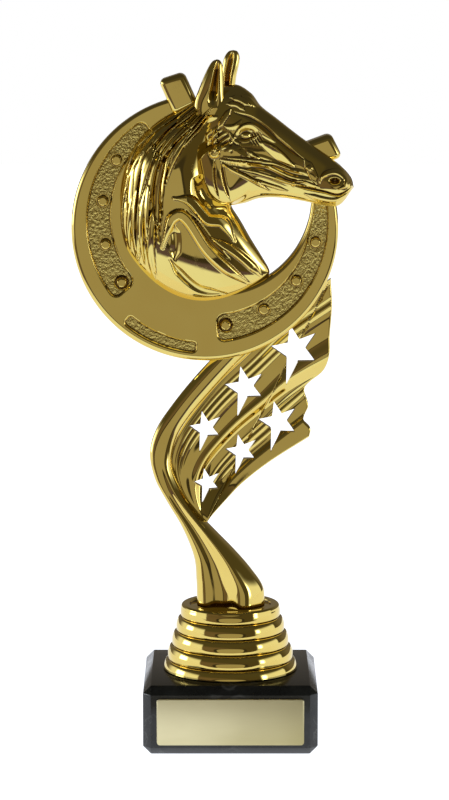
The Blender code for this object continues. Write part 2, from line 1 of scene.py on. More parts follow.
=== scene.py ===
import bpy
import bmesh
import numpy as np
from math import atan2, cos, pi, radians, sin
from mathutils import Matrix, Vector


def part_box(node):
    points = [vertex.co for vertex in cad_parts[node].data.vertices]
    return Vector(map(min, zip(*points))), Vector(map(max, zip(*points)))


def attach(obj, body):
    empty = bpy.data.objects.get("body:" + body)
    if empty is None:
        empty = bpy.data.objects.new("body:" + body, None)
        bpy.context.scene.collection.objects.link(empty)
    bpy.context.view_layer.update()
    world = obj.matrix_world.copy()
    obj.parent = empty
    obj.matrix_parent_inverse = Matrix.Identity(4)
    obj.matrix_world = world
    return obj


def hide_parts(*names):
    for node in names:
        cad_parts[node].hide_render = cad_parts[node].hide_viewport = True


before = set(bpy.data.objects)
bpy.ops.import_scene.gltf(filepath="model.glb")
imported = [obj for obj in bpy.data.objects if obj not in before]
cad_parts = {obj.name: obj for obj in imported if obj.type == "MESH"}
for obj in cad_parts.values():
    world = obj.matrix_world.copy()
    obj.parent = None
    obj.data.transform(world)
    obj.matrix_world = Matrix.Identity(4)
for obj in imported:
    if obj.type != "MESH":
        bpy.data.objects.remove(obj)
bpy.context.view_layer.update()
print("frame loaded:", ", ".join(sorted(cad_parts)))

figureLow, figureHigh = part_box("figure")
collarLow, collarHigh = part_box("collar")
baseLow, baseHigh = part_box("marble_base")
plateLow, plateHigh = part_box("plate")
mm = 0.001

# The figure is drawn in millimetres as seen from the front: its foot at 39, the tip of its far ear at 199.3
drawn = {"foot": 39.0, "height": 160.3}
unit = (figureHigh.z - figureLow.z) / drawn["height"]


def place(x, y, z):
    return np.stack([x * unit, y * unit, figureLow.z + (z - drawn["foot"]) * unit], axis=-1)


# Curves, reliefs and grids

def ease(low, high, value):
    s = np.clip((value - low) / (high - low), 0, 1)
    return s * s * (3 - 2 * s)


def smoothValue(stations, values, t):
    t = np.clip(t, stations[0], stations[-1])
    i = np.clip(np.searchsorted(stations, t, side="right") - 1, 0, len(stations) - 2)
    low = np.maximum(np.arange(len(stations)) - 1, 0)
    high = np.minimum(np.arange(len(stations)) + 1, len(stations) - 1)
    slope = (values[high] - values[low]) / (stations[high] - stations[low])
    span = stations[i + 1] - stations[i]
    s = (t - stations[i]) / span
    return ((1 + 2 * s) * (1 - s) ** 2 * values[i] + s * (1 - s) ** 2 * span * slope[i]
            + s * s * (3 - 2 * s) * values[i + 1] + s * s * (s - 1) * span * slope[i + 1])


def profile(*stops):
    stations, values = (np.array(row, dtype=float) for row in zip(*stops))
    return lambda t: smoothValue(stations, values, t)


def smoothCurve(points):
    knots = np.array(points, dtype=float)
    steps = np.linalg.norm(np.diff(knots, axis=0), axis=1)
    stations = np.concatenate(([0.0], np.cumsum(steps))) / steps.sum()
    return lambda t: [smoothValue(stations, knots[:, axis], t) for axis in range(knots.shape[1])]


def fromStretch(a, b, x, z):
    # distance from a straight stretch, the share of the way along it, and the side: above 0 is below a
    # stretch that runs to the right
    dx, dz = b[0] - a[0], b[1] - a[1]
    s = np.clip(((x - a[0]) * dx + (z - a[1]) * dz) / (dx * dx + dz * dz), 0, 1)
    return np.hypot(x - a[0] - s * dx, z - a[1] - s * dz), s, (x - a[0]) * dz - (z - a[1]) * dx


def routeDistance(route, x, z):
    # the same three for the nearest stretch of a smooth route through a few points
    points = np.stack(smoothCurve(route)(np.linspace(0, 1, 5 * len(route))), axis=-1)
    best, along, side = np.full(x.shape, 1e9), np.zeros(x.shape), np.zeros(x.shape)
    for k in range(len(points) - 1):
        distance, s, way = fromStretch(points[k], points[k + 1], x, z)
        nearer = distance < best
        best = np.where(nearer, distance, best)
        along = np.where(nearer, (k + s) / (len(points) - 1), along)
        side = np.where(nearer, way, side)
    return best, along, side


def nearRoute(route, x, z, width):
    # which places lie close enough to a route for its relief to reach them
    xs, zs = zip(*route)
    return (x > min(xs) - width) & (x < max(xs) + width) & (z > min(zs) - width) & (z < max(zs) + width)


def ridge(x, z, route, width, height, flat=0.0, taper=0.25, thin=0.25):
    # a rounded band: flat is the level share of its half width, thin is what is left at its ends
    out = np.zeros(x.shape)
    near = nearRoute(route, x, z, width)
    if near.any():
        distance, along = routeDistance(route, x[near], z[near])[:2]
        ends = thin + (1 - thin) * ease(0, taper, along) * ease(1, 1 - taper, along)
        out[near] = height * ends ** 0.5 * ease(1, flat, distance / (width * ends))
    return out


def ledge(x, z, route, width, height, steep=0.3, thin=0.1, full=0.7, slope=0.8):
    # a pointed leaf that leans down: highest along its route, steep above it and a slope of its width below
    out = np.zeros(x.shape)
    near = nearRoute(route, x, z, width)
    if near.any():
        distance, along, side = routeDistance(route, x[near], z[near])
        ends = thin + (1 - thin) * np.sin(pi * np.clip(along, 0, 1)) ** full
        below = np.clip(1 - distance / (width * ends), 0, 1) ** slope
        out[near] = height * ends * np.where(side > 0, below, ease(steep, 0.0, distance))
    return out


def dome(x, z, centre, radii, height, flat=0.0):
    d = np.hypot((x - centre[0]) / radii[0], (z - centre[1]) / radii[1])
    return height * ease(1, flat, d)


def between(left, right, u, across):
    # the place at a share of the way from one outline to the other
    (leftX, leftZ), (rightX, rightZ) = left(u), right(u)
    return leftX + (rightX - leftX) * across, leftZ + (rightZ - leftZ) * across


def gridOf(along, around, surface, closed=True, marks=()):
    # a grid whose points are moved onto surface(u, v), and rolled shut into a tube if it is closed; marks are
    # named values that the surface gives its points
    bm = bmesh.new()
    bmesh.ops.create_grid(bm, x_segments=along, y_segments=around, size=0.5)
    spots = np.array([vert.co for vert in bm.verts]) + 0.5
    u, v = spots[:, 0], spots[:, 1]
    if closed:
        v = np.where(v > 1 - 1e-5, 0.0, v)
    for vert, spot in zip(bm.verts, surface(u, v)):
        vert.co = spot
    for name in marks:
        layer = bm.verts.layers.float.new(name)
        for vert, value in zip(bm.verts, marks[name]):
            vert[layer] = value
    if closed:
        bmesh.ops.remove_doubles(bm, verts=bm.verts, dist=2e-7)
        bmesh.ops.holes_fill(bm, edges=[edge for edge in bm.edges if edge.is_boundary])
    return bm


def boxOf(size):
    bm = bmesh.new()
    bmesh.ops.create_cube(bm, size=1.0)
    bmesh.ops.scale(bm, vec=size, verts=bm.verts)
    return bm


def deepen(bm, depth):
    # gives a thin sheet its depth, towards the back
    deep = bmesh.ops.extrude_face_region(bm, geom=bm.faces[:])
    moved = [item for item in deep["geom"] if isinstance(item, bmesh.types.BMVert)]
    bmesh.ops.translate(bm, vec=(0, depth, 0), verts=moved)


def bevelEdges(bm, edges, width, segments):
    bmesh.ops.bevel(bm, geom=edges, offset=width, segments=segments, affect="EDGES", profile=0.5, material=-1)


def readRows(items, name, width, kind=float):
    flat = np.empty(len(items) * width, dtype=kind)
    items.foreach_get(name, flat)
    return flat.reshape(-1, width)


# the sharpest bend that counts, and the bend that the attribute calls 1, both per metre
creaseShadeSet = {"most": 6000.0, "one": 1000}


def markCreaseShade(mesh):
    # how hollow the surface is at each point, for the painted shade that darkens the gold in the creases
    count = len(mesh.vertices)
    spots, normals = readRows(mesh.vertices, "co", 3), readRows(mesh.vertices, "normal", 3)
    first, second = readRows(mesh.edges, "vertices", 2, np.int32).T
    hollow, joins = np.zeros(count), np.zeros(count)
    for a, b in ((first, second), (second, first)):
        step = spots[b] - spots[a]
        squared = np.maximum((step ** 2).sum(axis=1), 1e-12)
        bend = np.clip(2 * (step * normals[a]).sum(axis=1) / squared, -creaseShadeSet["most"], creaseShadeSet["most"])
        hollow += np.bincount(a, weights=bend, minlength=count)
        joins += np.bincount(a, minlength=count)
    crease = mesh.attributes.new("crease", "FLOAT", "POINT")
    crease.data.foreach_set("value", (hollow / np.maximum(joins, 1)).astype(np.float32) / creaseShadeSet["one"])


def meshOf(name, bm):
    mesh = bpy.data.meshes.new(name)
    bm.to_mesh(mesh)
    bm.free()
    return mesh


def addObject(name, data):
    made = bpy.data.objects.new(name, data)
    bpy.context.collection.objects.link(made)
    return made


def makePiece(name, bm, material, sharp=40):
    bmesh.ops.recalc_face_normals(bm, faces=bm.faces)
    mesh = meshOf(name, bm)
    mesh.materials.append(material)
    mesh.shade_smooth()
    mesh.set_sharp_from_angle(angle=radians(sharp))
    markCreaseShade(mesh)
    piece = addObject(name, mesh)
    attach(piece, "root")
    return piece


# Materials

def addNode(tree, kind, where=None, **values):
    # where is the output that the node takes its place from
    node = tree.nodes.new("ShaderNode" + kind)
    for key, value in values.items():
        if key in node.inputs:
            node.inputs[key].default_value = value
        else:
            setattr(node, key, value)
    if where is not None:
        tree.links.new(where, node.inputs["Vector"])
    return node


def mathNode(operation, first, second=None, third=None):
    # these four work in the tree that their first output belongs to
    tree = first.id_data
    node = addNode(tree, "Math")
    node.operation = operation
    for socket, value in zip(node.inputs, (first, second, third)):
        if value is None:
            continue
        if isinstance(value, (int, float)):
            socket.default_value = value
        else:
            tree.links.new(value, socket)
    return node.outputs[0]


def times(first, second):
    return mathNode("MULTIPLY", first, second)


def rangeNode(value, fromMin, fromMax, toMin=0.0, toMax=1.0):
    node = addNode(value.id_data, "MapRange")
    node.interpolation_type = "SMOOTHSTEP"
    for name, number in (("From Min", fromMin), ("From Max", fromMax), ("To Min", toMin), ("To Max", toMax)):
        node.inputs[name].default_value = number
    value.id_data.links.new(value, node.inputs["Value"])
    return node.outputs["Result"]


def mixColours(factor, first, second):
    tree = factor.id_data
    node = addNode(tree, "Mix")
    node.data_type = "RGBA"
    for name, value in (("Factor", factor), ("A", first), ("B", second)):
        socket = node.inputs[name]
        if isinstance(value, (int, float)):
            socket.default_value = value
        elif isinstance(value, tuple):
            socket.default_value = (*value, 1.0)
        else:
            tree.links.new(value, socket)
    return node.outputs["Result"]


def newMaterial(name):
    made = bpy.data.materials.new(name)
    made.use_nodes = True
    tree = made.node_tree
    shader = tree.nodes["Principled BSDF"]
    return made, tree, shader


wearSet = {"fine": {"Detail": 5.0, "Roughness": 0.6}, "fineTimes": 4.0, "broad": {"Detail": 1.0},
           "marksRange": (0.5, 0.72)}


def wearGroup():
    # soft handling marks and a slight swell of the surface, shared by the gold and the plate
    group = bpy.data.node_groups.new("handlingMarks", "ShaderNodeTree")
    for name, way in (("Scale", "INPUT"), ("Marks", "OUTPUT"), ("Swell", "OUTPUT")):
        group.interface.new_socket(name=name, in_out=way, socket_type="NodeSocketFloat")
    entry = group.nodes.new("NodeGroupInput")
    leave = group.nodes.new("NodeGroupOutput")
    spot = addNode(group, "TexCoord").outputs["Object"]
    fine = addNode(group, "TexNoise", spot, **wearSet["fine"])
    broad = addNode(group, "TexNoise", spot, **wearSet["broad"])
    fineScale = mathNode("MULTIPLY", entry.outputs["Scale"], wearSet["fineTimes"])
    group.links.new(fineScale, fine.inputs["Scale"])
    group.links.new(entry.outputs["Scale"], broad.inputs["Scale"])
    group.links.new(rangeNode(fine.outputs["Fac"], *wearSet["marksRange"]), leave.inputs["Marks"])
    group.links.new(broad.outputs["Fac"], leave.inputs["Swell"])
    return group


handlingMarks = wearGroup()


def addMarks(tree, scale):
    marks = addNode(tree, "Group")
    marks.node_tree = handlingMarks
    marks.inputs["Scale"].default_value = scale
    return marks


def addBump(tree, shader, height, **values):
    bump = addNode(tree, "Bump", **values)
    tree.links.new(height, bump.inputs["Height"])
    tree.links.new(bump.outputs["Normal"], shader.inputs["Normal"])


# the dark crease colour is painted shade, mixed into the gold where the surface is hollow
goldSet = {
    "colour": (0.84, 0.665, 0.20), "deep": (0.78, 0.58, 0.15), "roughness": (0.035, 0.10),
    "creaseShadeColour": (0.17, 0.105, 0.05), "creaseShadeRange": (0.25, 1.3), "creaseShadeInStipple": 0.35,
    "swellScale": 90.0, "swellHeight": 0.000012, "grain": {"Scale": 3000.0, "Detail": 2.0},
    "grainHeight": 0.00015, "stippleRoughness": 0.16}


def goldMaterial():
    made, tree, shader = newMaterial("goldPlating")
    marks = addMarks(tree, goldSet["swellScale"])
    stipple = addNode(tree, "Attribute", attribute_name="stipple").outputs["Fac"]
    crease = addNode(tree, "Attribute", attribute_name="crease").outputs["Fac"]
    spot = addNode(tree, "TexCoord").outputs["Object"]
    grain = addNode(tree, "TexNoise", spot, **goldSet["grain"])
    tone = mixColours(marks.outputs["Swell"], goldSet["colour"], goldSet["deep"])
    # painted shade: the gold darkens towards the dark crease colour where the surface is hollow, less on the
    # stippled floors
    sunk = rangeNode(crease, *goldSet["creaseShadeRange"])
    sunk = times(sunk, rangeNode(stipple, 0.0, 1.0, 1.0, goldSet["creaseShadeInStipple"]))
    tree.links.new(mixColours(sunk, tone, goldSet["creaseShadeColour"]), shader.inputs["Base Color"])
    shader.inputs["Metallic"].default_value = 1.0
    plain = rangeNode(marks.outputs["Marks"], 0.0, 1.0, *goldSet["roughness"])
    rough = times(stipple, goldSet["stippleRoughness"])
    tree.links.new(mathNode("ADD", plain, rough), shader.inputs["Roughness"])
    swell = times(marks.outputs["Swell"], goldSet["swellHeight"])
    grit = times(grain.outputs["Fac"], stipple)
    height = mathNode("MULTIPLY_ADD", grit, goldSet["grainHeight"], swell)
    addBump(tree, shader, height, Strength=1.0, Distance=1.0)
    return made


marbleSet = {
    "black": (0.013, 0.014, 0.013), "cloud": (0.027, 0.029, 0.027), "vein": (0.20, 0.21, 0.20),
    "turned": {"Rotation": (0.5, 0.35, 0.9), "Location": (0.013, 0.02, 0.006)},
    "clouds": {"Scale": 120.0, "Detail": 6.0, "Roughness": 0.65}, "cloudRange": (0.42, 0.7),
    "veins": {"Scale": 34.0, "Detail": 4.0, "Distortion": 1.6}, "veinWidth": 0.018, "veinShare": 0.5,
    "patches": {"Scale": 52.0, "Detail": 2.0}, "patchRange": (0.52, 0.66),
    "roughRange": (0.3, 0.75), "roughness": (0.10, 0.22)}


def marbleMaterial():
    made, tree, shader = newMaterial("blackMarble")
    spot = addNode(tree, "TexCoord").outputs["Object"]
    turned = addNode(tree, "Mapping", spot, **marbleSet["turned"])
    clouds, veins, patches = (
        addNode(tree, "TexNoise", turned.outputs["Vector"], **marbleSet[name]).outputs["Fac"]
        for name in ("clouds", "veins", "patches"))
    cloudy = rangeNode(clouds, *marbleSet["cloudRange"])
    body = mixColours(cloudy, marbleSet["black"], marbleSet["cloud"])
    # a vein runs where its noise crosses the middle of its range
    away = mathNode("ABSOLUTE", mathNode("SUBTRACT", veins, 0.5))
    line = rangeNode(away, 0.0, marbleSet["veinWidth"], 1.0, 0.0)
    shown = times(line, rangeNode(patches, *marbleSet["patchRange"]))
    faint = times(shown, times(clouds, marbleSet["veinShare"]))
    tree.links.new(mixColours(faint, body, marbleSet["vein"]), shader.inputs["Base Color"])
    rough = rangeNode(clouds, *marbleSet["roughRange"], *marbleSet["roughness"])
    tree.links.new(rough, shader.inputs["Roughness"])
    return made


# the sheet's two colours are painted light at its upper left and painted shade at its lower right
plateSet = {
    "pale": (0.90, 0.83, 0.52), "deep": (0.46, 0.40, 0.18), "marksScale": 60.0, "marksShare": 0.3,
    "corner": {"Location": (0.5, 0.0, -0.05), "Scale": (12.0, 0.0, -34.0)}, "paintedFallRange": (-0.15, 0.95),
    "stretched": {"Scale": (0.03, 1.0, 1.0)}, "brush": {"Scale": 7200.0, "Detail": 3.0},
    "brushRange": (0.3, 0.7), "roughness": (0.34, 0.42), "bump": {"Strength": 0.25, "Distance": 0.00002}}


def plateMaterial():
    made, tree, shader = newMaterial("champagneMetal")
    marks = addMarks(tree, plateSet["marksScale"])
    spot = addNode(tree, "TexCoord").outputs["Object"]
    stretched = addNode(tree, "Mapping", spot, **plateSet["stretched"])
    brush = addNode(tree, "TexNoise", stretched.outputs["Vector"], **plateSet["brush"]).outputs["Fac"]
    # painted light and shade: the colour is paler towards the upper left corner and darker towards the lower
    # right, for the light falling across the sheet, with a little random tone from the swell
    corner = addNode(tree, "Mapping", spot, **plateSet["corner"])
    sides = addNode(tree, "SeparateXYZ")
    tree.links.new(corner.outputs["Vector"], sides.inputs[0])
    fall = mathNode("ADD", sides.outputs[0], sides.outputs[2])
    fall = mathNode("MULTIPLY_ADD", marks.outputs["Swell"], plateSet["marksShare"], fall)
    tone = mixColours(rangeNode(fall, *plateSet["paintedFallRange"]), plateSet["pale"], plateSet["deep"])
    tree.links.new(tone, shader.inputs["Base Color"])
    shader.inputs["Metallic"].default_value = 1.0
    rough = rangeNode(brush, *plateSet["brushRange"], *plateSet["roughness"])
    tree.links.new(rough, shader.inputs["Roughness"])
    addBump(tree, shader, brush, **plateSet["bump"])
    return made


gold = goldMaterial()
marble = marbleMaterial()
champagne = plateMaterial()
print("materials made")


# Marble block and plate

blockSet = {"chamfer": 2.3 * mm, "softEdge": 0.14 * mm}


def makeBlock():
    bm = boxOf(baseHigh - baseLow)
    bmesh.ops.translate(bm, vec=(baseLow + baseHigh) / 2, verts=bm.verts)
    for width, segments in ((blockSet["chamfer"], 1), (blockSet["softEdge"], 3)):
        bevelEdges(bm, bm.edges[:], width, segments)
    block = makePiece("polishedBlock", bm, marble, sharp=60)
    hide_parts("marble_base")


namePlateSet = {"corner": 0.9 * mm, "edge": 0.22 * mm}


def makePlate():
    size = plateHigh - plateLow
    bm = boxOf(size)
    corners = [edge for edge in bm.edges if abs(edge.verts[0].co.y - edge.verts[1].co.y) > size.y / 2]
    bevelEdges(bm, corners, namePlateSet["corner"], 8)
    face = min(bm.faces, key=lambda f: f.calc_center_median().y)
    bevelEdges(bm, list(face.edges), namePlateSet["edge"], 3)
    bmesh.ops.translate(bm, vec=(plateLow + plateHigh) / 2, verts=bm.verts)
    sheetMetal = makePiece("namePlate", bm, champagne, sharp=60)
    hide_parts("plate")


makeBlock()
makePlate()
print("plinth made")


# Collar

collarSet = {
    "topRadius": 14.5 * mm, "ringStep": 1.25 * mm, "pitch": 4.2 * mm, "footRing": 2.6 * mm, "rings": 5,
    "section": profile(
        (0, -0.45), (0.04, -0.2), (0.1, -0.07), (0.2, -0.01), (0.3, 0), (0.44, -0.02), (0.54, -0.07),
        (0.64, -0.17), (0.76, -0.34), (0.86, -0.53), (0.94, -0.8), (1, -1.7)),
    "ringSteps": 30, "segments": 200, "wall": 1.6 * mm, "lastRing": 1.2,
    # the rim round the sunk top: its soft edges, and how far in and down the floor meets it
    "rim": 2.2 * mm, "edge": 0.8 * mm, "edgeIn": 0.03 * mm, "innerEdge": 0.3 * mm, "edgeSteps": 8,
    "dish": 0.6 * mm, "dishFoot": ((0.45 * mm, 0.12 * mm), (0.7 * mm, 0)), "bore": 0.6 * mm}


def makeCollar():
    pitch, edge, wall = collarSet["pitch"], collarSet["edge"], collarSet["wall"]
    outline = []
    for ring in range(collarSet["rings"]):
        radius = collarSet["topRadius"] + (collarSet["rings"] - 1 - ring) * collarSet["ringStep"]
        for step in range(collarSet["ringSteps"]):
            share = step / collarSet["ringSteps"]
            up = collarSet["footRing"] + (ring - 1 + share) * pitch
            if 0.0 <= up < collarHigh.z - collarLow.z - collarSet["lastRing"] * edge:
                outline.append((radius + float(collarSet["section"](share)) * mm, collarLow.z + up))
    outline[0] = (outline[0][0], collarLow.z)
    top = outline[-1][0] - collarSet["edgeIn"]
    rim = top - collarSet["rim"]
    inner, floor = collarSet["innerEdge"], collarHigh.z - collarSet["dish"]
    turns = [pi / 2 * step / collarSet["edgeSteps"] for step in range(collarSet["edgeSteps"] + 1)]
    outline += [(top - edge * (1 - cos(turn)), collarHigh.z - edge * (1 - sin(turn))) for turn in turns]
    outline += [(rim - inner * sin(turn), collarHigh.z - inner * (1 - cos(turn))) for turn in turns[:-2]]
    outline += [(rim - inward, floor - down) for inward, down in collarSet["dishFoot"]]
    outline += [(0.0, floor), (0.0, floor - wall), (rim - collarSet["bore"], floor - wall)]
    outline += [(outline[0][0] - wall, collarLow.z)]
    bm = bmesh.new()
    verts = [bm.verts.new((radius, 0, z)) for radius, z in outline]
    edges = [bm.edges.new(pair) for pair in zip(verts, verts[1:] + verts[:1])]
    bmesh.ops.spin(bm, geom=verts + edges, cent=(0, 0, 0), axis=(0, 0, 1), angle=2 * pi,
                   steps=collarSet["segments"], use_merge=True, use_duplicate=False)
    bmesh.ops.remove_doubles(bm, verts=bm.verts, dist=1e-7)
    bmesh.ops.delete(bm, geom=[edge for edge in bm.edges if not edge.link_faces], context="EDGES")
    turned = makePiece("ribbedCollar", bm, gold, sharp=50)
    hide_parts("collar")


makeCollar()
print("collar made")


# Stem

stemSet = {
    "left": smoothCurve([(-9.7, 39), (-9.9, 46), (-10.6, 53), (-14, 61.7), (-18.6, 69.6), (-21.9, 76),
        (-23.3, 83.5), (-21.5, 90.2), (-17.4, 96.6), (-10.9, 104.8), (-3.5, 112.8), (3, 119)]),
    "right": smoothCurve([(10, 39), (9.6, 44), (6.4, 49), (1.7, 54.5), (-4.6, 61), (-9.7, 66.4), (-14, 72.5),
        (-16.9, 80), (-15.6, 87.8), (-11.6, 94.4), (-5.2, 102), (1.2, 109), (8, 116)]),
    "halfDepth": 6.25, "roundness": 0.75, "sunk": 0.33, "sunkEnd": 0.05,
    # depth or height, where it lies across the stem and half its width; both end at lowEnd of the way up
    "crease": (0.36, 0.36, 0.3), "lobe": (0.2, 0.72, 0.28), "lowEnd": 0.75,
    "depth": profile((0, 1), (0.2, 0.85), (0.4, 0.5), (0.6, 0.36), (1, 0.36)),
    "back": profile((0, 0), (0.35, 0.4), (0.6, 1.2), (1, 1.9)),
    "steps": (260, 110)}


def makeStem():
    creaseDepth, creaseAt, creaseWidth = stemSet["crease"]
    lobeHeight, lobeAt, lobeWidth = stemSet["lobe"]

    def surface(u, v):
        angle = 2 * pi * v
        across = (1 - np.cos(angle)) / 2
        x, z = between(stemSet["left"], stemSet["right"], u, across)
        roundOff = np.abs(np.sin(angle)) ** stemSet["roundness"]
        depth = stemSet["halfDepth"] * stemSet["depth"](u)
        low = ease(stemSet["lowEnd"], 0.0, u)
        crease = creaseDepth * ease(creaseWidth, 0.0, np.abs(across - creaseAt)) * low
        lobe = lobeHeight * ease(lobeWidth, 0.0, np.abs(across - lobeAt)) * low
        front = np.sin(angle) >= 0
        y = np.where(front, -depth * roundOff * (1 - crease + lobe), depth * roundOff)
        return place(x, y + stemSet["back"](u), z - stemSet["sunk"] * ease(stemSet["sunkEnd"], 0.0, u))
    piece = makePiece("twistedStem", gridOf(*stemSet["steps"], surface), gold, sharp=70)
    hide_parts("figure")


# Ribbon with star holes

ribbonSet = {
    "upper": smoothCurve([(-8.2, 62.8), (-12.6, 68.5), (-16.2, 75.2), (-17.4, 81), (-15.6, 87.8),
        (-11.6, 94.4),
        (-3.9, 104), (5.3, 113), (16, 124), (28.9, 134)]),
    "lower": smoothCurve([(-6.8, 62.8), (-5.3, 64.8), (-1.5, 68.9), (3.8, 74.3), (11.6, 80.4), (22.9, 87.6)]),
    "end": smoothCurve([(28.9, 134), (29.3, 126), (28.7, 117), (28.6, 112), (27, 107), (21.6, 101.8),
        (22.6, 96.5), (21.2, 92.6), (23.2, 90), (22.9, 87.6)]),
    "stars": [((18.8, 113.2), 9.6), ((4.3, 102.2), 8.1), ((-7.1, 90.3), 6.6),
              ((14, 91.7), 8.1), ((3.3, 83.2), 6.5), ((-6.7, 74.1), 5.5)],
    "points": [(-0.17, 0.77), (0.62, 0.51), (0.59, -0.33), (-0.28, -1.06), (-0.76, 0.12)],
    "waist": 0.5, "cutReach": 15, "thickness": 2.8, "softEdge": 0.45, "borderSteps": 60, "steps": (230, 190),
    "back": 0.9, "lean": 0.9, "spreadEnd": 0.35, "endPower": 4,
    # depth, where across the ribbon it starts and is full, and how much of the wander it follows
    "folds": [(2.6, 0.44, 0.56, 0), (-1, 0.84, 0.90, 0), (-0.5, 0.36, 0.46, 1), (0.9, 0, 0.035, 0)],
    "rippleHeight": 0.17, "ripplePitch": 0.062, "rippleRange": (0.12, 0.3),
    "ripples": [((0.07, 0.12), (0.27, 0.18)), ((0.62, 0.66), (0.82, 0.74))],
    # size, waves along the ribbon and where they begin; size and waves across and along
    "wander": (0.03, 7, 1), "wave": (0.3, 2.2, 0.35)}


def starOutline(centre, size):
    tips = [Vector((centre[0] + px * size, centre[1] + pz * size)) for px, pz in ribbonSet["points"]]
    outline = []
    for tip, following in zip(tips, tips[1:] + tips[:1]):
        outline.append(tip)
        outline.append(Vector(centre) + ((tip + following) / 2 - Vector(centre)) * ribbonSet["waist"])
    return outline


def outlineDistance(outline, x, z):
    return np.min([fromStretch(a, b, x, z)[0] for a, b in zip(outline, outline[1:] + outline[:1])], axis=0)


def roundedFall(distance, radius):
    # how far a soft edge falls back at a distance from it
    inside = np.clip(distance / radius, 0, 1)
    return radius * (1 - np.sqrt(1 - (1 - inside) ** 2))


def makeRibbon():
    upper, lower, end = ribbonSet["upper"], ribbonSet["lower"], ribbonSet["end"]

    def surface(u, v):
        (upX, upZ), (lowX, lowZ) = upper(u), lower(u)
        (endX, endZ), (cornerUpX, cornerUpZ), (cornerLowX, cornerLowZ) = end(v), upper(1.0), lower(1.0)
        shift = u ** ribbonSet["endPower"]
        x = upX + (lowX - upX) * v + (endX - cornerUpX - (cornerLowX - cornerUpX) * v) * shift
        z = upZ + (lowZ - upZ) * v + (endZ - cornerUpZ - (cornerLowZ - cornerUpZ) * v) * shift
        size, waves, start = ribbonSet["wander"]
        wander = size * np.sin(waves * u + start)
        fold = sum(deep * ease(low, high, v + part * wander) for deep, low, high, part in ribbonSet["folds"])
        lines = ribbonSet["rippleHeight"] * np.cos(2 * pi * v / ribbonSet["ripplePitch"])
        ripple = sum(lines * ease(*rise, v) * ease(*fall, v + wander) for rise, fall in ribbonSet["ripples"])
        ripple = ripple * ease(*ribbonSet["rippleRange"], u)
        size, across, along = ribbonSet["wave"]
        wave = size * np.cos(2 * pi * (v * across + along * u))
        spread = ease(0, ribbonSet["spreadEnd"], u)
        y = ribbonSet["back"] + spread * (fold + ripple + wave) + ribbonSet["lean"] * u
        border = outlineDistance(borderLine, x, z)
        return place(x, y + roundedFall(border, ribbonSet["softEdge"]), z)

    shares = np.linspace(0, 1, ribbonSet["borderSteps"])
    borderLine = list(zip(*lower(shares))) + list(zip(*end(shares)))[::-1]
    bm = gridOf(*ribbonSet["steps"], surface, closed=False)
    deepen(bm, ribbonSet["thickness"] * unit)
    ribbon = makePiece("starRibbon", bm, gold, sharp=40)
    cutters = []
    reach = ribbonSet["cutReach"]
    for centre, size in ribbonSet["stars"]:
        hole = bmesh.new()
        hole.faces.new([hole.verts.new(place(p.x, -reach, p.y)) for p in starOutline(centre, size)])
        deepen(hole, 2 * reach * unit)
        bmesh.ops.recalc_face_normals(hole, faces=hole.faces)
        cutter = addObject("starHole", meshOf("starHole", hole))
        cut = ribbon.modifiers.new("starHole", "BOOLEAN")
        cut.operation = "DIFFERENCE"
        cut.object = cutter
        cutters.append(cutter)
    shaped = ribbon.evaluated_get(bpy.context.evaluated_depsgraph_get())
    ribbon.data = bpy.data.meshes.new_from_object(shaped)
    ribbon.modifiers.clear()
    ribbon.data.shade_smooth()
    ribbon.data.set_sharp_from_angle(angle=radians(65))
    for cutter in cutters:
        bpy.data.objects.remove(cutter, do_unlink=True)
    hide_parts("figure")


makeStem()
makeRibbon()
print("stem and ribbon made")


# Horseshoe

shoeSet = {
    "centre": (-7.3, 148.8), "tilt": radians(22.5), "outer": 38.18, "inner": 26.7, "innerShift": 9.5,
    "heelOuter": (24, 30), "heelInner": (17.1, 30), "half": 2.5, "frontEdge": 1.6, "backEdge": 0.8,
    "creaseDepth": 0.9, "creaseWall": 0.5,
    # the long crease of a branch between two arcs (radius, shift up), its end angles seen from its own
    # centre and its corners' radius; then the same for the short one at the toe
    "arcs": ((34.7, 2), (28.3, 4)), "ends": (-63.5, 34.5), "endCentre": 3, "corner": 2.3,
    "toeArcs": (36, 32.5), "toeEnd": 18.7, "toeCorner": 1.3, "toeBelow": -20,
    "stipple": 0.10, "stippleRange": (0.45, 0.7), "grain": 0.36, "grainTable": 256, "seed": 4,
    "nails": [(30.7, 8.5), (29.9, -3.8), (24.5, -15), (16.1, -23.4)], "nailRadius": 1.45, "nailRise": 0.7,
    # in nail radii: the nail's edge, the groove round it and where the stipple starts again
    "nailEdge": (1.1, 0.8), "groove": 0.3, "grooveRange": ((0.95, 1.15), (1.5, 1.25)),
    "nailClear": (1.3, 1.5), "nailWall": 0.3,
    "calk": [(22.6, 38.9), (28.3, 34), (20.4, 26.4), (15.4, 32.2)], "calkHalf": 4,
    "calkEdge": 1.7, "calkSteps": 8,
    "steps": 720, "frontSteps": 74, "sideSteps": 5, "cornerSteps": 7, "backSteps": 12}


def shoePlace(across, y, along):
    tilt = shoeSet["tilt"]
    x = shoeSet["centre"][0] + across * cos(tilt) + along * sin(tilt)
    z = shoeSet["centre"][1] - across * sin(tilt) + along * cos(tilt)
    return place(x, y, z)


def roundedInside(distances, radius):
    # depth inside several borders at once, with rounded corners where two of them meet
    short = [np.maximum(radius - d, 0.0) for d in distances]
    return radius - np.sqrt(sum(s * s for s in short))


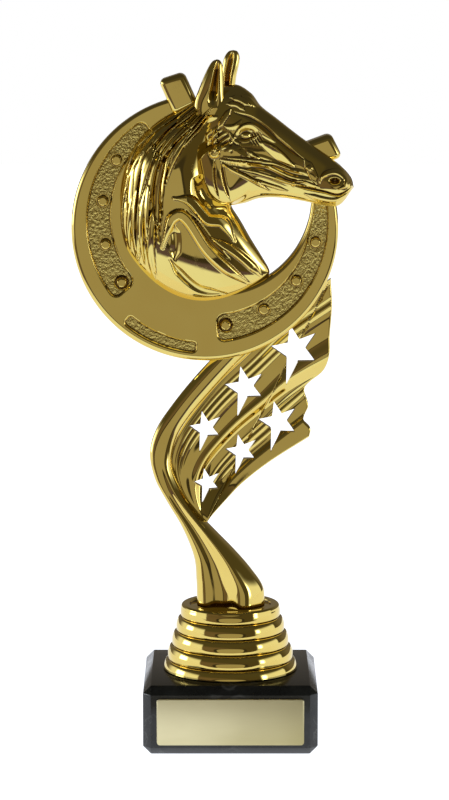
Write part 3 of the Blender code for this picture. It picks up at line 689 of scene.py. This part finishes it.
def creaseInside(a, b):
    # depth inside the long creases of the branches, or inside the short one at the toe
    side = np.abs(a)
    angle = np.degrees(np.arctan2(b - shoeSet["endCentre"], side))
    radius = np.hypot(side, b - shoeSet["endCentre"])
    (outer, outerUp), (inner, innerUp) = shoeSet["arcs"]
    low, high = shoeSet["ends"]
    branch = roundedInside([outer - np.hypot(side, b - outerUp), np.hypot(side, b - innerUp) - inner,
                            np.radians(high - angle) * radius, np.radians(angle - low) * radius],
                           shoeSet["corner"])
    toeAngle, toeRadius = np.degrees(np.arctan2(a, -b)), np.hypot(a, b)
    outer, inner = shoeSet["toeArcs"]
    toe = roundedInside([outer - toeRadius, toeRadius - inner,
                         np.radians(shoeSet["toeEnd"] - np.abs(toeAngle)) * toeRadius], shoeSet["toeCorner"])
    return np.where(b < shoeSet["toeBelow"], np.maximum(branch, toe), branch)


def shoeSection():
    # the cross-section as (offset, share of the width, y), from the outer front edge round and back
    front, back, half = shoeSet["frontEdge"], shoeSet["backEdge"], shoeSet["half"]
    turns = [pi / 2 * k / shoeSet["cornerSteps"] for k in range(shoeSet["cornerSteps"] + 1)]
    ways = [(2 * half - front - back) * k / shoeSet["sideSteps"] for k in range(1, shoeSet["sideSteps"])]
    frontShares = [k / shoeSet["frontSteps"] for k in range(shoeSet["frontSteps"] + 1)]
    backShares = [1 - k / shoeSet["backSteps"] for k in range(1, shoeSet["backSteps"])]
    rows = [(front * (1 - 2 * share), share, -half) for share in frontShares]
    rows += [(-front * (1 - sin(turn)), 1.0, -half + front * (1 - cos(turn))) for turn in turns[1:]]
    rows += [(0.0, 1.0, -half + front + way) for way in ways]
    rows += [(-back * (1 - cos(turn)), 1.0, half - back * (1 - sin(turn))) for turn in turns]
    rows += [(back * (1 - 2 * share), share, half) for share in backShares]
    rows += [(back * (1 - sin(turn)), 0.0, half - back * (1 - cos(turn))) for turn in turns]
    rows += [(0.0, 0.0, half - back - way) for way in ways]
    rows += [(front * (1 - cos(turn)), 0.0, -half + front * (1 - sin(turn))) for turn in turns[:-1]]
    return np.array(rows)


def makeShoe():
    rows = shoeSection()
    shift = shoeSet["innerShift"]
    (outX, outZ), (inX, inZ) = shoeSet["heelOuter"], shoeSet["heelInner"]
    outerHeel, innerHeel = atan2(outZ, outX), atan2(inZ - shift, inX)
    size = shoeSet["grainTable"]
    table = np.random.default_rng(shoeSet["seed"]).uniform(-1.0, 1.0, (size, size))
    marks = {}

    def grains(a, b, cell):
        # smooth random heights with one peak or hollow for each cell
        i, j = np.floor(a / cell).astype(int), np.floor(b / cell).astype(int)
        s, t = ease(0, 1.0, a / cell - i), ease(0, 1.0, b / cell - j)
        low, high = (table[i % size, column] * (1 - s) + table[(i + 1) % size, column] * s
                     for column in (j % size, (j + 1) % size))
        return low * (1 - t) + high * t

    def surface(u, v):
        row = rows[(v * len(rows)).round().astype(int) % len(rows)]
        outAngle = pi - outerHeel + u * (pi + 2 * outerHeel)
        inAngle = pi - innerHeel + u * (pi + 2 * innerHeel)
        outA, outB = shoeSet["outer"] * np.cos(outAngle), shoeSet["outer"] * np.sin(outAngle)
        inA, inB = shoeSet["inner"] * np.cos(inAngle), shift + shoeSet["inner"] * np.sin(inAngle)
        width = np.hypot(inA - outA, inB - outB)
        share = row[:, 0] / width + row[:, 1]
        a, b = outA + (inA - outA) * share, outB + (inB - outB) * share
        front = row[:, 2] <= -shoeSet["half"] + 1e-6
        inside = creaseInside(a, b)
        sunk = shoeSet["creaseDepth"] * ease(0, shoeSet["creaseWall"], inside)
        rough = ease(*shoeSet["stippleRange"], inside) * front
        rise = np.zeros(a.shape)
        for across, along in shoeSet["nails"]:
            d = np.hypot(np.abs(a) - across, b - along) / shoeSet["nailRadius"]
            tall = (shoeSet["nailRise"] + shoeSet["creaseDepth"]) * ease(*shoeSet["nailEdge"], d)
            start, stop = shoeSet["grooveRange"]
            rise = np.maximum(rise, tall) - shoeSet["groove"] * ease(*start, d) * ease(*stop, d)
            rough = rough * ease(*shoeSet["nailClear"], d)
        grit = grains(a, b, shoeSet["grain"]) * shoeSet["stipple"] * rough
        y = row[:, 2] + front * (sunk - rise * ease(0, shoeSet["nailWall"], sunk) + grit)
        marks["stipple"] = rough
        return shoePlace(a, y, b)

    bm = gridOf(shoeSet["steps"], len(rows), surface, marks=marks)
    shoe = makePiece("horseshoe", bm, gold, sharp=60)
    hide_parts("figure")


def makeCalks():
    half = shoeSet["calkHalf"]
    for side, name in ((-1, "leftCalk"), (1, "rightCalk")):
        bm = bmesh.new()
        bm.faces.new([bm.verts.new(shoePlace(a * side, -half, b)) for a, b in shoeSet["calk"]])
        deepen(bm, 2 * half * unit)
        bevelEdges(bm, bm.edges[:], shoeSet["calkEdge"] * unit, shoeSet["calkSteps"])
        calk = makePiece(name, bm, gold, sharp=60)
        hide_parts("figure")


makeShoe()
makeCalks()
print("horseshoe made")


# Head

headSet = {
    "yaw": radians(10), "axisX": -4, "axisY": 0, "nearShare": 0.74, "steps": (300, 250),
    "top": smoothCurve([(-8.5, 183), (-5, 187.6), (1.2, 189.8), (5.8, 187.4), (8.6, 183.8), (13, 180.4),
        (19.8, 175.2), (26.5, 170.6), (31.4, 167), (34.2, 163.8), (35, 161)]),
    "bottom": smoothCurve([(-9, 176), (-8.6, 167), (-6.4, 158.8), (-1.6, 155.6), (3.6, 156), (8.5, 157.6),
        (14.5, 157.8), (20.5, 157), (26.3, 155.9), (31, 156), (35, 161)]),
    "width": profile((0, 3), (0.12, 6.4), (0.3, 8), (0.45, 7.6), (0.62, 5.6), (0.78, 4.9), (0.9, 5.3),
        (0.97, 3.8), (1, 0)),
    # the broadest line's share of the way down, and how full the side is above and below it
    "broadest": 0.6, "full": (0.42, 0.3), "narrow": 0.06,
    # the flat cheek: centre, radius and level, its reach and level share, where it ends, how full its edge is
    "cheek": ((-1.3, 164.7), 8.6, 9.3), "disc": (1.06, 0.86), "discRange": (0.98, 0.1), "discFull": 0.14,
    # the relief: its share on the near and on the far side, and where it ends at the nose
    "reliefShares": (1, -0.2), "noseEnd": 0.08, "lean": 0.5,
    # route, width of the slope, height
    "ledges": [
        ([(1.2, 174.6), (2.8, 177.4), (4.7, 178.9), (7.1, 179), (9.8, 177.2), (13.2, 173.9)], 1.9, 1.09),
        ([(8.4, 174), (10.4, 173.8), (13, 172.6), (15.8, 170.2), (18.6, 167)], 2.5, 1.23),
        ([(-1.2, 178.4), (1.4, 178.6), (3.9, 180.2)], 1.2, 0.72),
        ([(-8.8, 179.6), (-6.6, 181), (-3, 181)], 1.8, 1.01),
        ([(5, 171.6), (6.8, 170.8), (9.6, 168.6)], 1.1, 0.72),
        ([(-2.1, 169.2), (4, 168.4), (12.2, 167.2)], 1.1, 0.87),
        ([(17.4, 162.6), (20.8, 163), (25.4, 161.4)], 1.3, 0.8),
        ([(3.4, 187.2), (5.8, 186.2), (8, 183.6)], 1.5, 0.87)],
    # route, half width, height, level share
    "bands": [
        ([(2.6, 174.6), (4.8, 174.2), (7, 175), (8.6, 176)], 0.7, 0.5, 0),
        ([(0.4, 176.6), (1.6, 174.6), (3.4, 173.4)], 0.6, 0.5, 0),
        ([(0, 174.6), (1.6, 173), (4, 172.2)], 0.6, 0.4, 0),
        ([(-1.3, 169.8), (10.6, 168.4), (19.7, 165.6)], 0.55, 0.6, 0.2),
        ([(-1.8, 168.2), (1, 166.4), (6.1, 163.7), (11.5, 160.2)], 0.65, 0.8, 0.3),
        ([(6.1, 163.7), (11.2, 161.9), (16.6, 160.2)], 0.6, 0.7, 0.3),
        ([(1, 167.2), (8.5, 165.2), (15.5, 163), (22, 161.6)], 0.6, 0.6, 0.2),
        ([(-3.7, 168.8), (-3.7, 163.1), (-2.6, 158)], 0.5, -0.6, 0.1),
        ([(-2, 168.8), (-0.9, 162.5), (0.6, 157.6)], 0.6, -0.7, 0.1),
        ([(-3.5, 171.5), (-3.8, 175), (-3.2, 178.2)], 1, 0.7, 0.5),
        ([(-2.9, 177.8), (-1.3, 180.3), (0.6, 183.2)], 0.9, 0.7, 0.5),
        ([(21.4, 169), (23.2, 165.8), (24.6, 162.4)], 1.3, 0.5, 0.6),
        ([(25.6, 162.6), (26.8, 164.7), (30.1, 165.7), (32.9, 164), (32.9, 161.9), (30.9, 161)],
         0.95, 1, 0.1),
        ([(33.8, 159.9), (30.4, 157.7), (25.9, 158), (21.4, 159.4)], 1, 0.6, 0.2),
        ([(34.6, 161.6), (31, 159.3), (26.9, 160.1), (21.9, 161), (18.5, 161.6)], 0.55, -0.8, 0),
        ([(1.6, 182.3), (6.1, 180.7), (10.2, 178), (14, 174.5), (18, 171.2), (21, 169.2)],
         0.9, -0.7, 0),
        ([(0.4, 186.4), (3, 185.9), (6, 184.2)], 1, 0.8, 0.2),
        ([(-0.6, 184.6), (2.2, 184.4), (4.6, 182.8)], 0.8, 0.6, 0.2)],
    # route, half width, height, spacing of the stripes across the route, slant
    "sinews": [
        ([(4, 169.6), (12, 166.4), (18, 164.4), (24, 162.6)], 3.6, 0.3, 2.1, 0.34),
        ([(-6.5, 176.2), (-2, 175), (1, 171.6)], 2.6, 0.3, 1.9, -0.9),
        ([(6.4, 173.6), (9, 176.6)], 2.2, 0.22, 1.3, 1.6)],
    "sinewSway": (1.3, 0.45), "sinewFlat": 0.4,
    # centre, radii, height, level share
    "domes": [
        ((5, 175.9), (4.6, 3.1), -1.3, 0), ((4.9, 175.9), (1.7, 1.1), 0.9, 0.2),
        ((-3.7, 171), (1.7, 1.7), 1.2, 0.6), ((22.8, 166.7), (1, 1), 0.6, 0.4),
        ((18.3, 162.1), (0.8, 0.8), 0.6, 0.2), ((29.9, 163.2), (2.1, 1.2), -1.8, 0.1),
        ((29.6, 162.6), (6, 4.8), 0.8, 0.2), ((-6, 173.4), (3, 3), -0.8, 0.1)]}


def headRelief(x, z):
    relief = np.zeros(x.shape)
    for route, width, tall in headSet["ledges"]:
        relief = relief + ledge(x, z, route, width, tall)
    for route, width, tall, flat in headSet["bands"]:
        relief = relief + ridge(x, z, route, width, tall, flat=flat)
    for spot, radii, tall, flat in headSet["domes"]:
        relief = relief + dome(x, z, spot, radii, tall, flat=flat)
    sway, often = headSet["sinewSway"]
    for route, width, tall, spacing, slant in headSet["sinews"]:
        stripes = np.sin(2 * pi * (z + slant * x) / spacing + sway * np.sin(often * x))
        relief = relief + stripes * ridge(x, z, route, width, tall, flat=headSet["sinewFlat"])
    return relief


def makeHead():
    near, yaw, broadest = headSet["nearShare"], headSet["yaw"], headSet["broadest"]
    (cheekX, cheekZ), radius, level = headSet["cheek"]
    reach, flat = headSet["disc"]
    fullAbove, fullBelow = headSet["full"]

    def surface(u, v):
        angle = np.where(v < near, pi * v / near, pi * (1 + (v - near) / (1 - near)))
        down = (1 - np.cos(angle)) / 2
        x, z = between(headSet["top"], headSet["bottom"], u, down)
        above, below = np.clip(down / broadest, 0, 1), np.clip((1 - down) / (1 - broadest), 0, 1)
        above, under = above * (2 - above), below * (2 - below)
        bulge = np.where(down < broadest, above ** fullAbove, under ** fullBelow)
        side = np.where(np.sin(angle) > 0, -1, 1)
        disc = dome(x, z, (cheekX, cheekZ), (radius * reach, radius * reach), 1.0, flat=flat)
        start, stop = (cheekX + radius * share for share in headSet["discRange"])
        disc = disc * ease(start, stop, x) * (side < 0)
        width = headSet["width"](u) * (1 - headSet["narrow"] * down)
        flatCheek = level * under ** headSet["discFull"]
        out = bulge * width + disc * np.maximum(flatCheek - bulge * width, 0.0)
        relief = np.abs(np.sin(angle)) ** 0.5 * headRelief(x, z) * ease(0, headSet["noseEnd"], 1 - u)
        out = out + relief * np.where(side < 0, *headSet["reliefShares"])
        forward = (x - headSet["axisX"]) / cos(yaw)
        x = x + side * out * sin(yaw) * headSet["lean"]
        return place(x, headSet["axisY"] - forward * sin(yaw) + side * out * cos(yaw), z)
    head = makePiece("horseHead", gridOf(*headSet["steps"], surface), gold, sharp=80)
    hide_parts("figure")


# left and right outline, depth of the middle, and the hollow's place across, depth and width
earSet = {
    "near": (smoothCurve([(-10.4, 181.6), (-10.1, 185.4), (-8.9, 188.8), (-7.6, 192), (-6.1, 195.1),
        (-5, 196.6),
        (-3.8, 197.1)]),
             smoothCurve([(-1.4, 181.6), (-1.7, 186), (-1.9, 190), (-2.1, 193.6), (-2.4, 195.8), (-3, 196.8),
        (-3.8, 197.1)]), -4.2, 0.60, 1.25, 0.2),
    "far": (smoothCurve([(-3.4, 184), (-2.8, 188), (-2.6, 192.4), (-2.1, 195.8), (-1.5, 197.7), (-0.4, 199),
        (0.9, 199.3)]),
            smoothCurve([(1.4, 184), (1.3, 188.4), (1.7, 192), (2.4, 195.2), (2.6, 197.3), (2, 198.9),
        (0.9, 199.3)]), 3.6, 0.42, 1.1, 0.24),
    "depth": 2, "swell": profile((0, 1), (0.4, 1), (0.7, 0.8), (0.9, 0.5), (0.97, 0.24), (1, 0.06)),
    "roundness": 0.8, "hollowRange": ((0.1, 0.4), (0.97, 0.75)), "steps": (110, 100)}


def makeEar(which, name):
    left, right, middle, hollowAt, deep, wide = earSet[which]
    start, stop = earSet["hollowRange"]

    def surface(u, v):
        angle = 2 * pi * v
        across = (1 - np.cos(angle)) / 2
        x, z = between(left, right, u, across)
        hollow = deep * ease(wide, 0.0, np.abs(across - hollowAt)) * ease(*start, u) * ease(*stop, u)
        half = earSet["depth"] * earSet["swell"](u)
        front = -half * np.abs(np.sin(angle)) ** earSet["roundness"] * (1 - hollow)
        return place(x, middle + np.where(np.sin(angle) > 0, front, -half * np.sin(angle)), z)
    ear = makePiece(name, gridOf(*earSet["steps"], surface), gold, sharp=70)
    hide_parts("figure")


makeHead()
makeEar("near", "nearEar")
makeEar("far", "farEar")
print("head made")


# Neck and mane

neckSet = {
    "crest": smoothCurve([(-5.5, 187), (-9.2, 186.2), (-14.6, 183), (-22.6, 177.6), (-28.2, 170.6),
        (-30.8, 161.6), (-31.6, 152), (-30.9, 145.5), (-29.6, 141.8)]),
    "throat": smoothCurve([(0, 182), (-1, 172), (-2, 162), (0.2, 155.4), (2.8, 151.2), (6, 145.6),
        (9.2, 140.4),
        (11.2, 136.6), (10.6, 134.4)]),
    "sag": 10.6, "sagFrom": 0.45, "nearShare": 0.72, "steps": (330, 250), "roundness": 0.42,
    "front": profile((0, 4), (0.2, 6.8), (0.45, 8.6), (0.7, 8.2), (0.86, 6.4), (0.95, 3.8), (1, 0.4)),
    "back": profile((0, 4), (0.28, 7.2), (0.6, 4.8), (0.85, 1.8), (1, 0.3)),
    "middle": (0.4, -1.4), "reliefEnds": (0.06, 0.88), "farLocks": 0.5,
    # how deep the hollow before the throat is, and where across and along the neck it lies
    "hollow": (0.36, (0.45, 0.95), (0.8, 0.45)),
    # route, half width, height, level share
    "muscles": [
        ([(-16, 158.1), (-11.4, 157.4), (-8.6, 154.4), (-6.3, 151.9), (-2.1, 151), (1, 145.6)],
         1.8, 1.3, 0.5),
        ([(-19.4, 144), (-17.6, 149.6), (-16.4, 152.4), (-14.2, 153.4), (-11.6, 151.2), (-6.4, 143.2),
          (-0.7, 137.6), (6.4, 132.4)], 1.8, 1.3, 0.5),
        ([(-5.5, 146.7), (0.7, 143), (6.2, 138.2), (9.2, 134.8)], 1.4, 1.1, 0.5),
        ([(-15.9, 150.4), (-15.4, 145.6), (-16, 140.5)], 1.7, -0.7, 0.1),
        ([(-17, 140.5), (-14.5, 136.9), (-8.8, 131.9), (-1.4, 130.4)], 1.5, -1.2, 0.2),
        ([(-12.6, 154.6), (-9, 150.4), (-5, 145), (-0.4, 140.6)], 0.9, -0.9, 0.1),
        ([(-18.6, 170), (-20.4, 163), (-20.8, 156), (-20.2, 149)], 1.7, -1.2, 0.2),
        ([(-7.6, 165), (-8.4, 160), (-5.6, 155.6)], 3.2, -0.9, 0)]}


# widths and places are shares of the neck's width, starts and lengths are shares of its length
lockSet = {
    "seed": 11, "tiers": 4, "locks": 11, "reach": (0.52, -0.07), "start": (0.01, 0.19), "startWander": 0.06,
    "lag": 0.05, "length": (0.24, 0.36), "lane": (0.2, 0.8), "drift": (-0.05, 0.01),
    "halfWidth": (0.022, 0.042), "height": 2.3, "heightShare": (0.45, 1), "tilt": 0.45,
    "sway": (0.008, 14, 1.9), "point": (0.7, 0.8), "flat": 0.6, "flatShare": 0.75}


def locksOver(u, column):
    # pointed flat-topped locks in tiers down the neck, each tier over the one above it
    random = np.random.default_rng(lockSet["seed"])
    relief = np.zeros(u.shape)
    locks, wander, flatShare = lockSet["locks"], lockSet["startWander"], lockSet["flatShare"]
    (reach, reachStep), (first, tierStep) = lockSet["reach"], lockSet["start"]
    (sway, often, each), (early, pointed) = lockSet["sway"], lockSet["point"]
    for number in range(lockSet["tiers"] * locks):
        tier, lane = divmod(number, locks)
        start = first + tierStep * tier + random.uniform(-wander, wander) + lockSet["lag"] * lane / locks
        length = random.uniform(*lockSet["length"])
        middle = (reach + reachStep * tier) * (lane + random.uniform(*lockSet["lane"])) / locks
        drift = random.uniform(*lockSet["drift"])
        half = random.uniform(*lockSet["halfWidth"])
        tall = lockSet["height"] * random.uniform(*lockSet["heightShare"])
        tilt = random.uniform(-1.0, 1.0) * lockSet["tilt"]
        share = np.clip((u - start) / length, 0, 1)
        centre = middle + drift * share + sway * np.sin(often * u + each * number)
        taper = np.sin(pi * share ** early) ** pointed
        aside = np.clip((column - centre) / np.maximum(half * taper, 1e-6), -1.0, 1.0)
        across = np.abs(aside)
        level = flatShare * ease(1, lockSet["flat"], across) * (1 + tilt * aside)
        lock = tall * taper ** 0.5 * (level + (1 - flatShare) * ease(1, 0.0, across))
        relief = np.maximum(relief, lock)
    return relief


def makeNeck():
    near = neckSet["nearShare"]
    deep, hollowAcross, hollowAlong = neckSet["hollow"]

    def surface(u, v):
        (crestX, crestZ), (throatX, throatZ) = neckSet["crest"](u), neckSet["throat"](u)
        isNear = v < near
        column = np.where(isNear, v / near, (1 - v) / (1 - near))
        across = (column + (1 - np.cos(pi * column)) / 2) / 2
        chordX, chordZ = throatX - crestX, throatZ - crestZ
        length = np.hypot(chordX, chordZ)
        sag = neckSet["sag"] * ease(neckSet["sagFrom"], 1.0, u) * 4 * across * (1 - across)
        x = crestX + chordX * across + chordZ / length * sag
        z = crestZ + chordZ * across - chordX / length * sag
        roundOff = (4 * across * (1 - across)) ** neckSet["roundness"]
        hollow = 1 - deep * ease(*hollowAcross, across) * ease(*hollowAlong, u)
        start, drift = neckSet["middle"]
        middle = start + drift * u
        muscle = np.zeros(u.shape)
        for route, width, tall, flat in neckSet["muscles"]:
            band = ridge(x, z, route, width, tall, flat=flat)
            muscle = np.where(np.abs(band) > np.abs(muscle), band, muscle)
        locks = locksOver(u, across)
        relief = np.maximum(locks, muscle) + np.minimum(muscle, 0.0)
        low, high = neckSet["reliefEnds"]
        fade = ease(1, high, u) * ease(0, low, u)
        nearY = middle - roundOff * (neckSet["front"](u) * hollow + relief * fade)
        farY = middle + roundOff * (neckSet["back"](u) + neckSet["farLocks"] * locks * fade)
        return place(x, np.where(isNear, nearY, farY), z)
    neck = makePiece("neckAndMane", gridOf(*neckSet["steps"], surface), gold, sharp=80)
    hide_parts("figure")


makeNeck()
print("neck and mane made")


# Studio: a pale table, a soft sky with side lights, and the camera

studioSet = {
    "tableFront": -0.10, "tableBack": 2.0, "tableSide": 2.0, "tableDrop": 0.2 * mm,
    "tableColour": (0.90, 0.93, 1.0), "tableRoughness": 0.9, "tableGlow": (0.95, 1.25),
    # the room to the left and right of the camera
    "roomRange": (-0.35, 0.25), "roomLeft": (0.165, 0.125, 0.10), "roomRight": (0.085, 0.07, 0.04),
    # over and under it, each tone with the heights where it starts and is full
    "above": [((0.12, 0.35), (0.085, 0.075, 0.045)), ((0.5, 0.8), (0.055, 0.050, 0.042))],
    "behindRange": (1.9, 2.4), "behindLow": (0.6, 0.3), "behind": (0.17, 0.15, 0.125),
    "below": [((-0.32, -0.36), (0.115, 0.085, 0.15)), ((-0.42, -0.45), (0.95, 1.05, 1.2))],
    # the grey field that the camera stands in, after its dark edge
    "fieldHalf": (0.46, 0.215), "fieldHeight": -0.14,
    "field": [((1.32, 1.18), (0.045, 0.038, 0.03)), ((1.05, 0.97), (0.405, 0.375, 0.315))],
    # the side lights, soft panels and then their bright cores: colour, heights and turns, each as where
    # the light rises and where it falls
    "lights": [((1.0, 1.05, 1.15), ((-0.24, -0.12), (0.42, 0.24)),
                [((-2.45, -2.05), (-0.97, -1.03)), ((0.91, 1.01), (1.94, 1.88))]),
               ((6.5, 6.8, 7.2), ((-0.12, -0.02), (0.34, 0.18)),
                [((-1.90, -1.80), (-1.48, -1.58)), ((0.95, 1.05), (1.18, 1.08))])]}


def makeStudio():
    world = bpy.data.worlds.new("studio")
    bpy.context.scene.world = world
    world.use_nodes = True
    tree = world.node_tree
    glow = tree.nodes["Background"]
    spot = addNode(tree, "TexCoord").outputs["Generated"]
    parts = addNode(tree, "SeparateXYZ")
    tree.links.new(spot, parts.inputs[0])
    x, y, z = parts.outputs
    # 0 at the camera's side, + to the right
    turn = mathNode("ARCTAN2", x, times(y, -1.0))
    side = rangeNode(turn, *studioSet["roomRange"])
    sky = mixColours(side, studioSet["roomLeft"], studioSet["roomRight"])
    for span, colour in studioSet["above"]:
        sky = mixColours(rangeNode(z, *span), sky, colour)
    away = rangeNode(mathNode("ABSOLUTE", turn), *studioSet["behindRange"])
    low = rangeNode(z, *studioSet["behindLow"])
    sky = mixColours(times(away, low), sky, studioSet["behind"])
    for span, colour in studioSet["below"]:
        sky = mixColours(rangeNode(z, *span), sky, colour)
    halfWidth, halfHeight = studioSet["fieldHalf"]
    acrossField = times(turn, 1 / halfWidth)
    rise = mathNode("SUBTRACT", mathNode("ARCSINE", z), studioSet["fieldHeight"])
    upField = times(rise, 1 / halfHeight)
    outward = mathNode("SQRT", mathNode("MULTIPLY_ADD", acrossField, acrossField,
                                              times(upField, upField)))
    for span, colour in studioSet["field"]:
        sky = mixColours(rangeNode(outward, *span), sky, colour)
    for colour, heights, turns in studioSet["lights"]:
        tall = times(*(rangeNode(z, *span) for span in heights))
        for spans in turns:
            wide = times(*(rangeNode(turn, *span) for span in spans))
            sky = mixColours(times(wide, tall), sky, colour)
    seen = addNode(tree, "LightPath")
    sky = mixColours(seen.outputs["Is Camera Ray"], sky, (1.0, 1.0, 1.0))
    tree.links.new(sky, glow.inputs["Color"])
    glow.inputs["Strength"].default_value = 1.0

    made, floorTree, shader = newMaterial("paleTable")
    shader.inputs["Base Color"].default_value = (*studioSet["tableColour"], 1.0)
    shader.inputs["Roughness"].default_value = studioSet["tableRoughness"]
    shader.inputs["Emission Color"].default_value = (*studioSet["tableColour"], 1.0)
    seen = addNode(floorTree, "LightPath")
    shown = rangeNode(seen.outputs["Is Camera Ray"], 0.0, 1.0, *studioSet["tableGlow"])
    floorTree.links.new(shown, shader.inputs["Emission Strength"])
    bm = bmesh.new()
    bmesh.ops.create_grid(bm, x_segments=2, y_segments=2, size=0.5)
    front, back = studioSet["tableFront"], studioSet["tableBack"]
    bmesh.ops.scale(bm, vec=(2 * studioSet["tableSide"], back - front, 1), verts=bm.verts)
    bmesh.ops.translate(bm, vec=(0, (back + front) / 2, -studioSet["tableDrop"]), verts=bm.verts)
    mesh = meshOf("table", bm)
    mesh.materials.append(made)
    table = addObject("table", mesh)


cameraSet = {"place": (-0.00169, -0.950, 0.246), "pitch": radians(8.8), "lens": 150.0, "sensor": 36.0}


def makeCamera():
    data = bpy.data.cameras.new("camera")
    data.sensor_fit = "VERTICAL"
    data.sensor_height = cameraSet["sensor"]
    data.lens = cameraSet["lens"]
    camera = addObject("camera", data)
    camera.location = cameraSet["place"]
    camera.rotation_euler = (pi / 2 - cameraSet["pitch"], 0, 0)
    bpy.context.scene.camera = camera


makeStudio()
makeCamera()
bpy.context.scene.view_settings.view_transform = "Standard"
print("studio made")
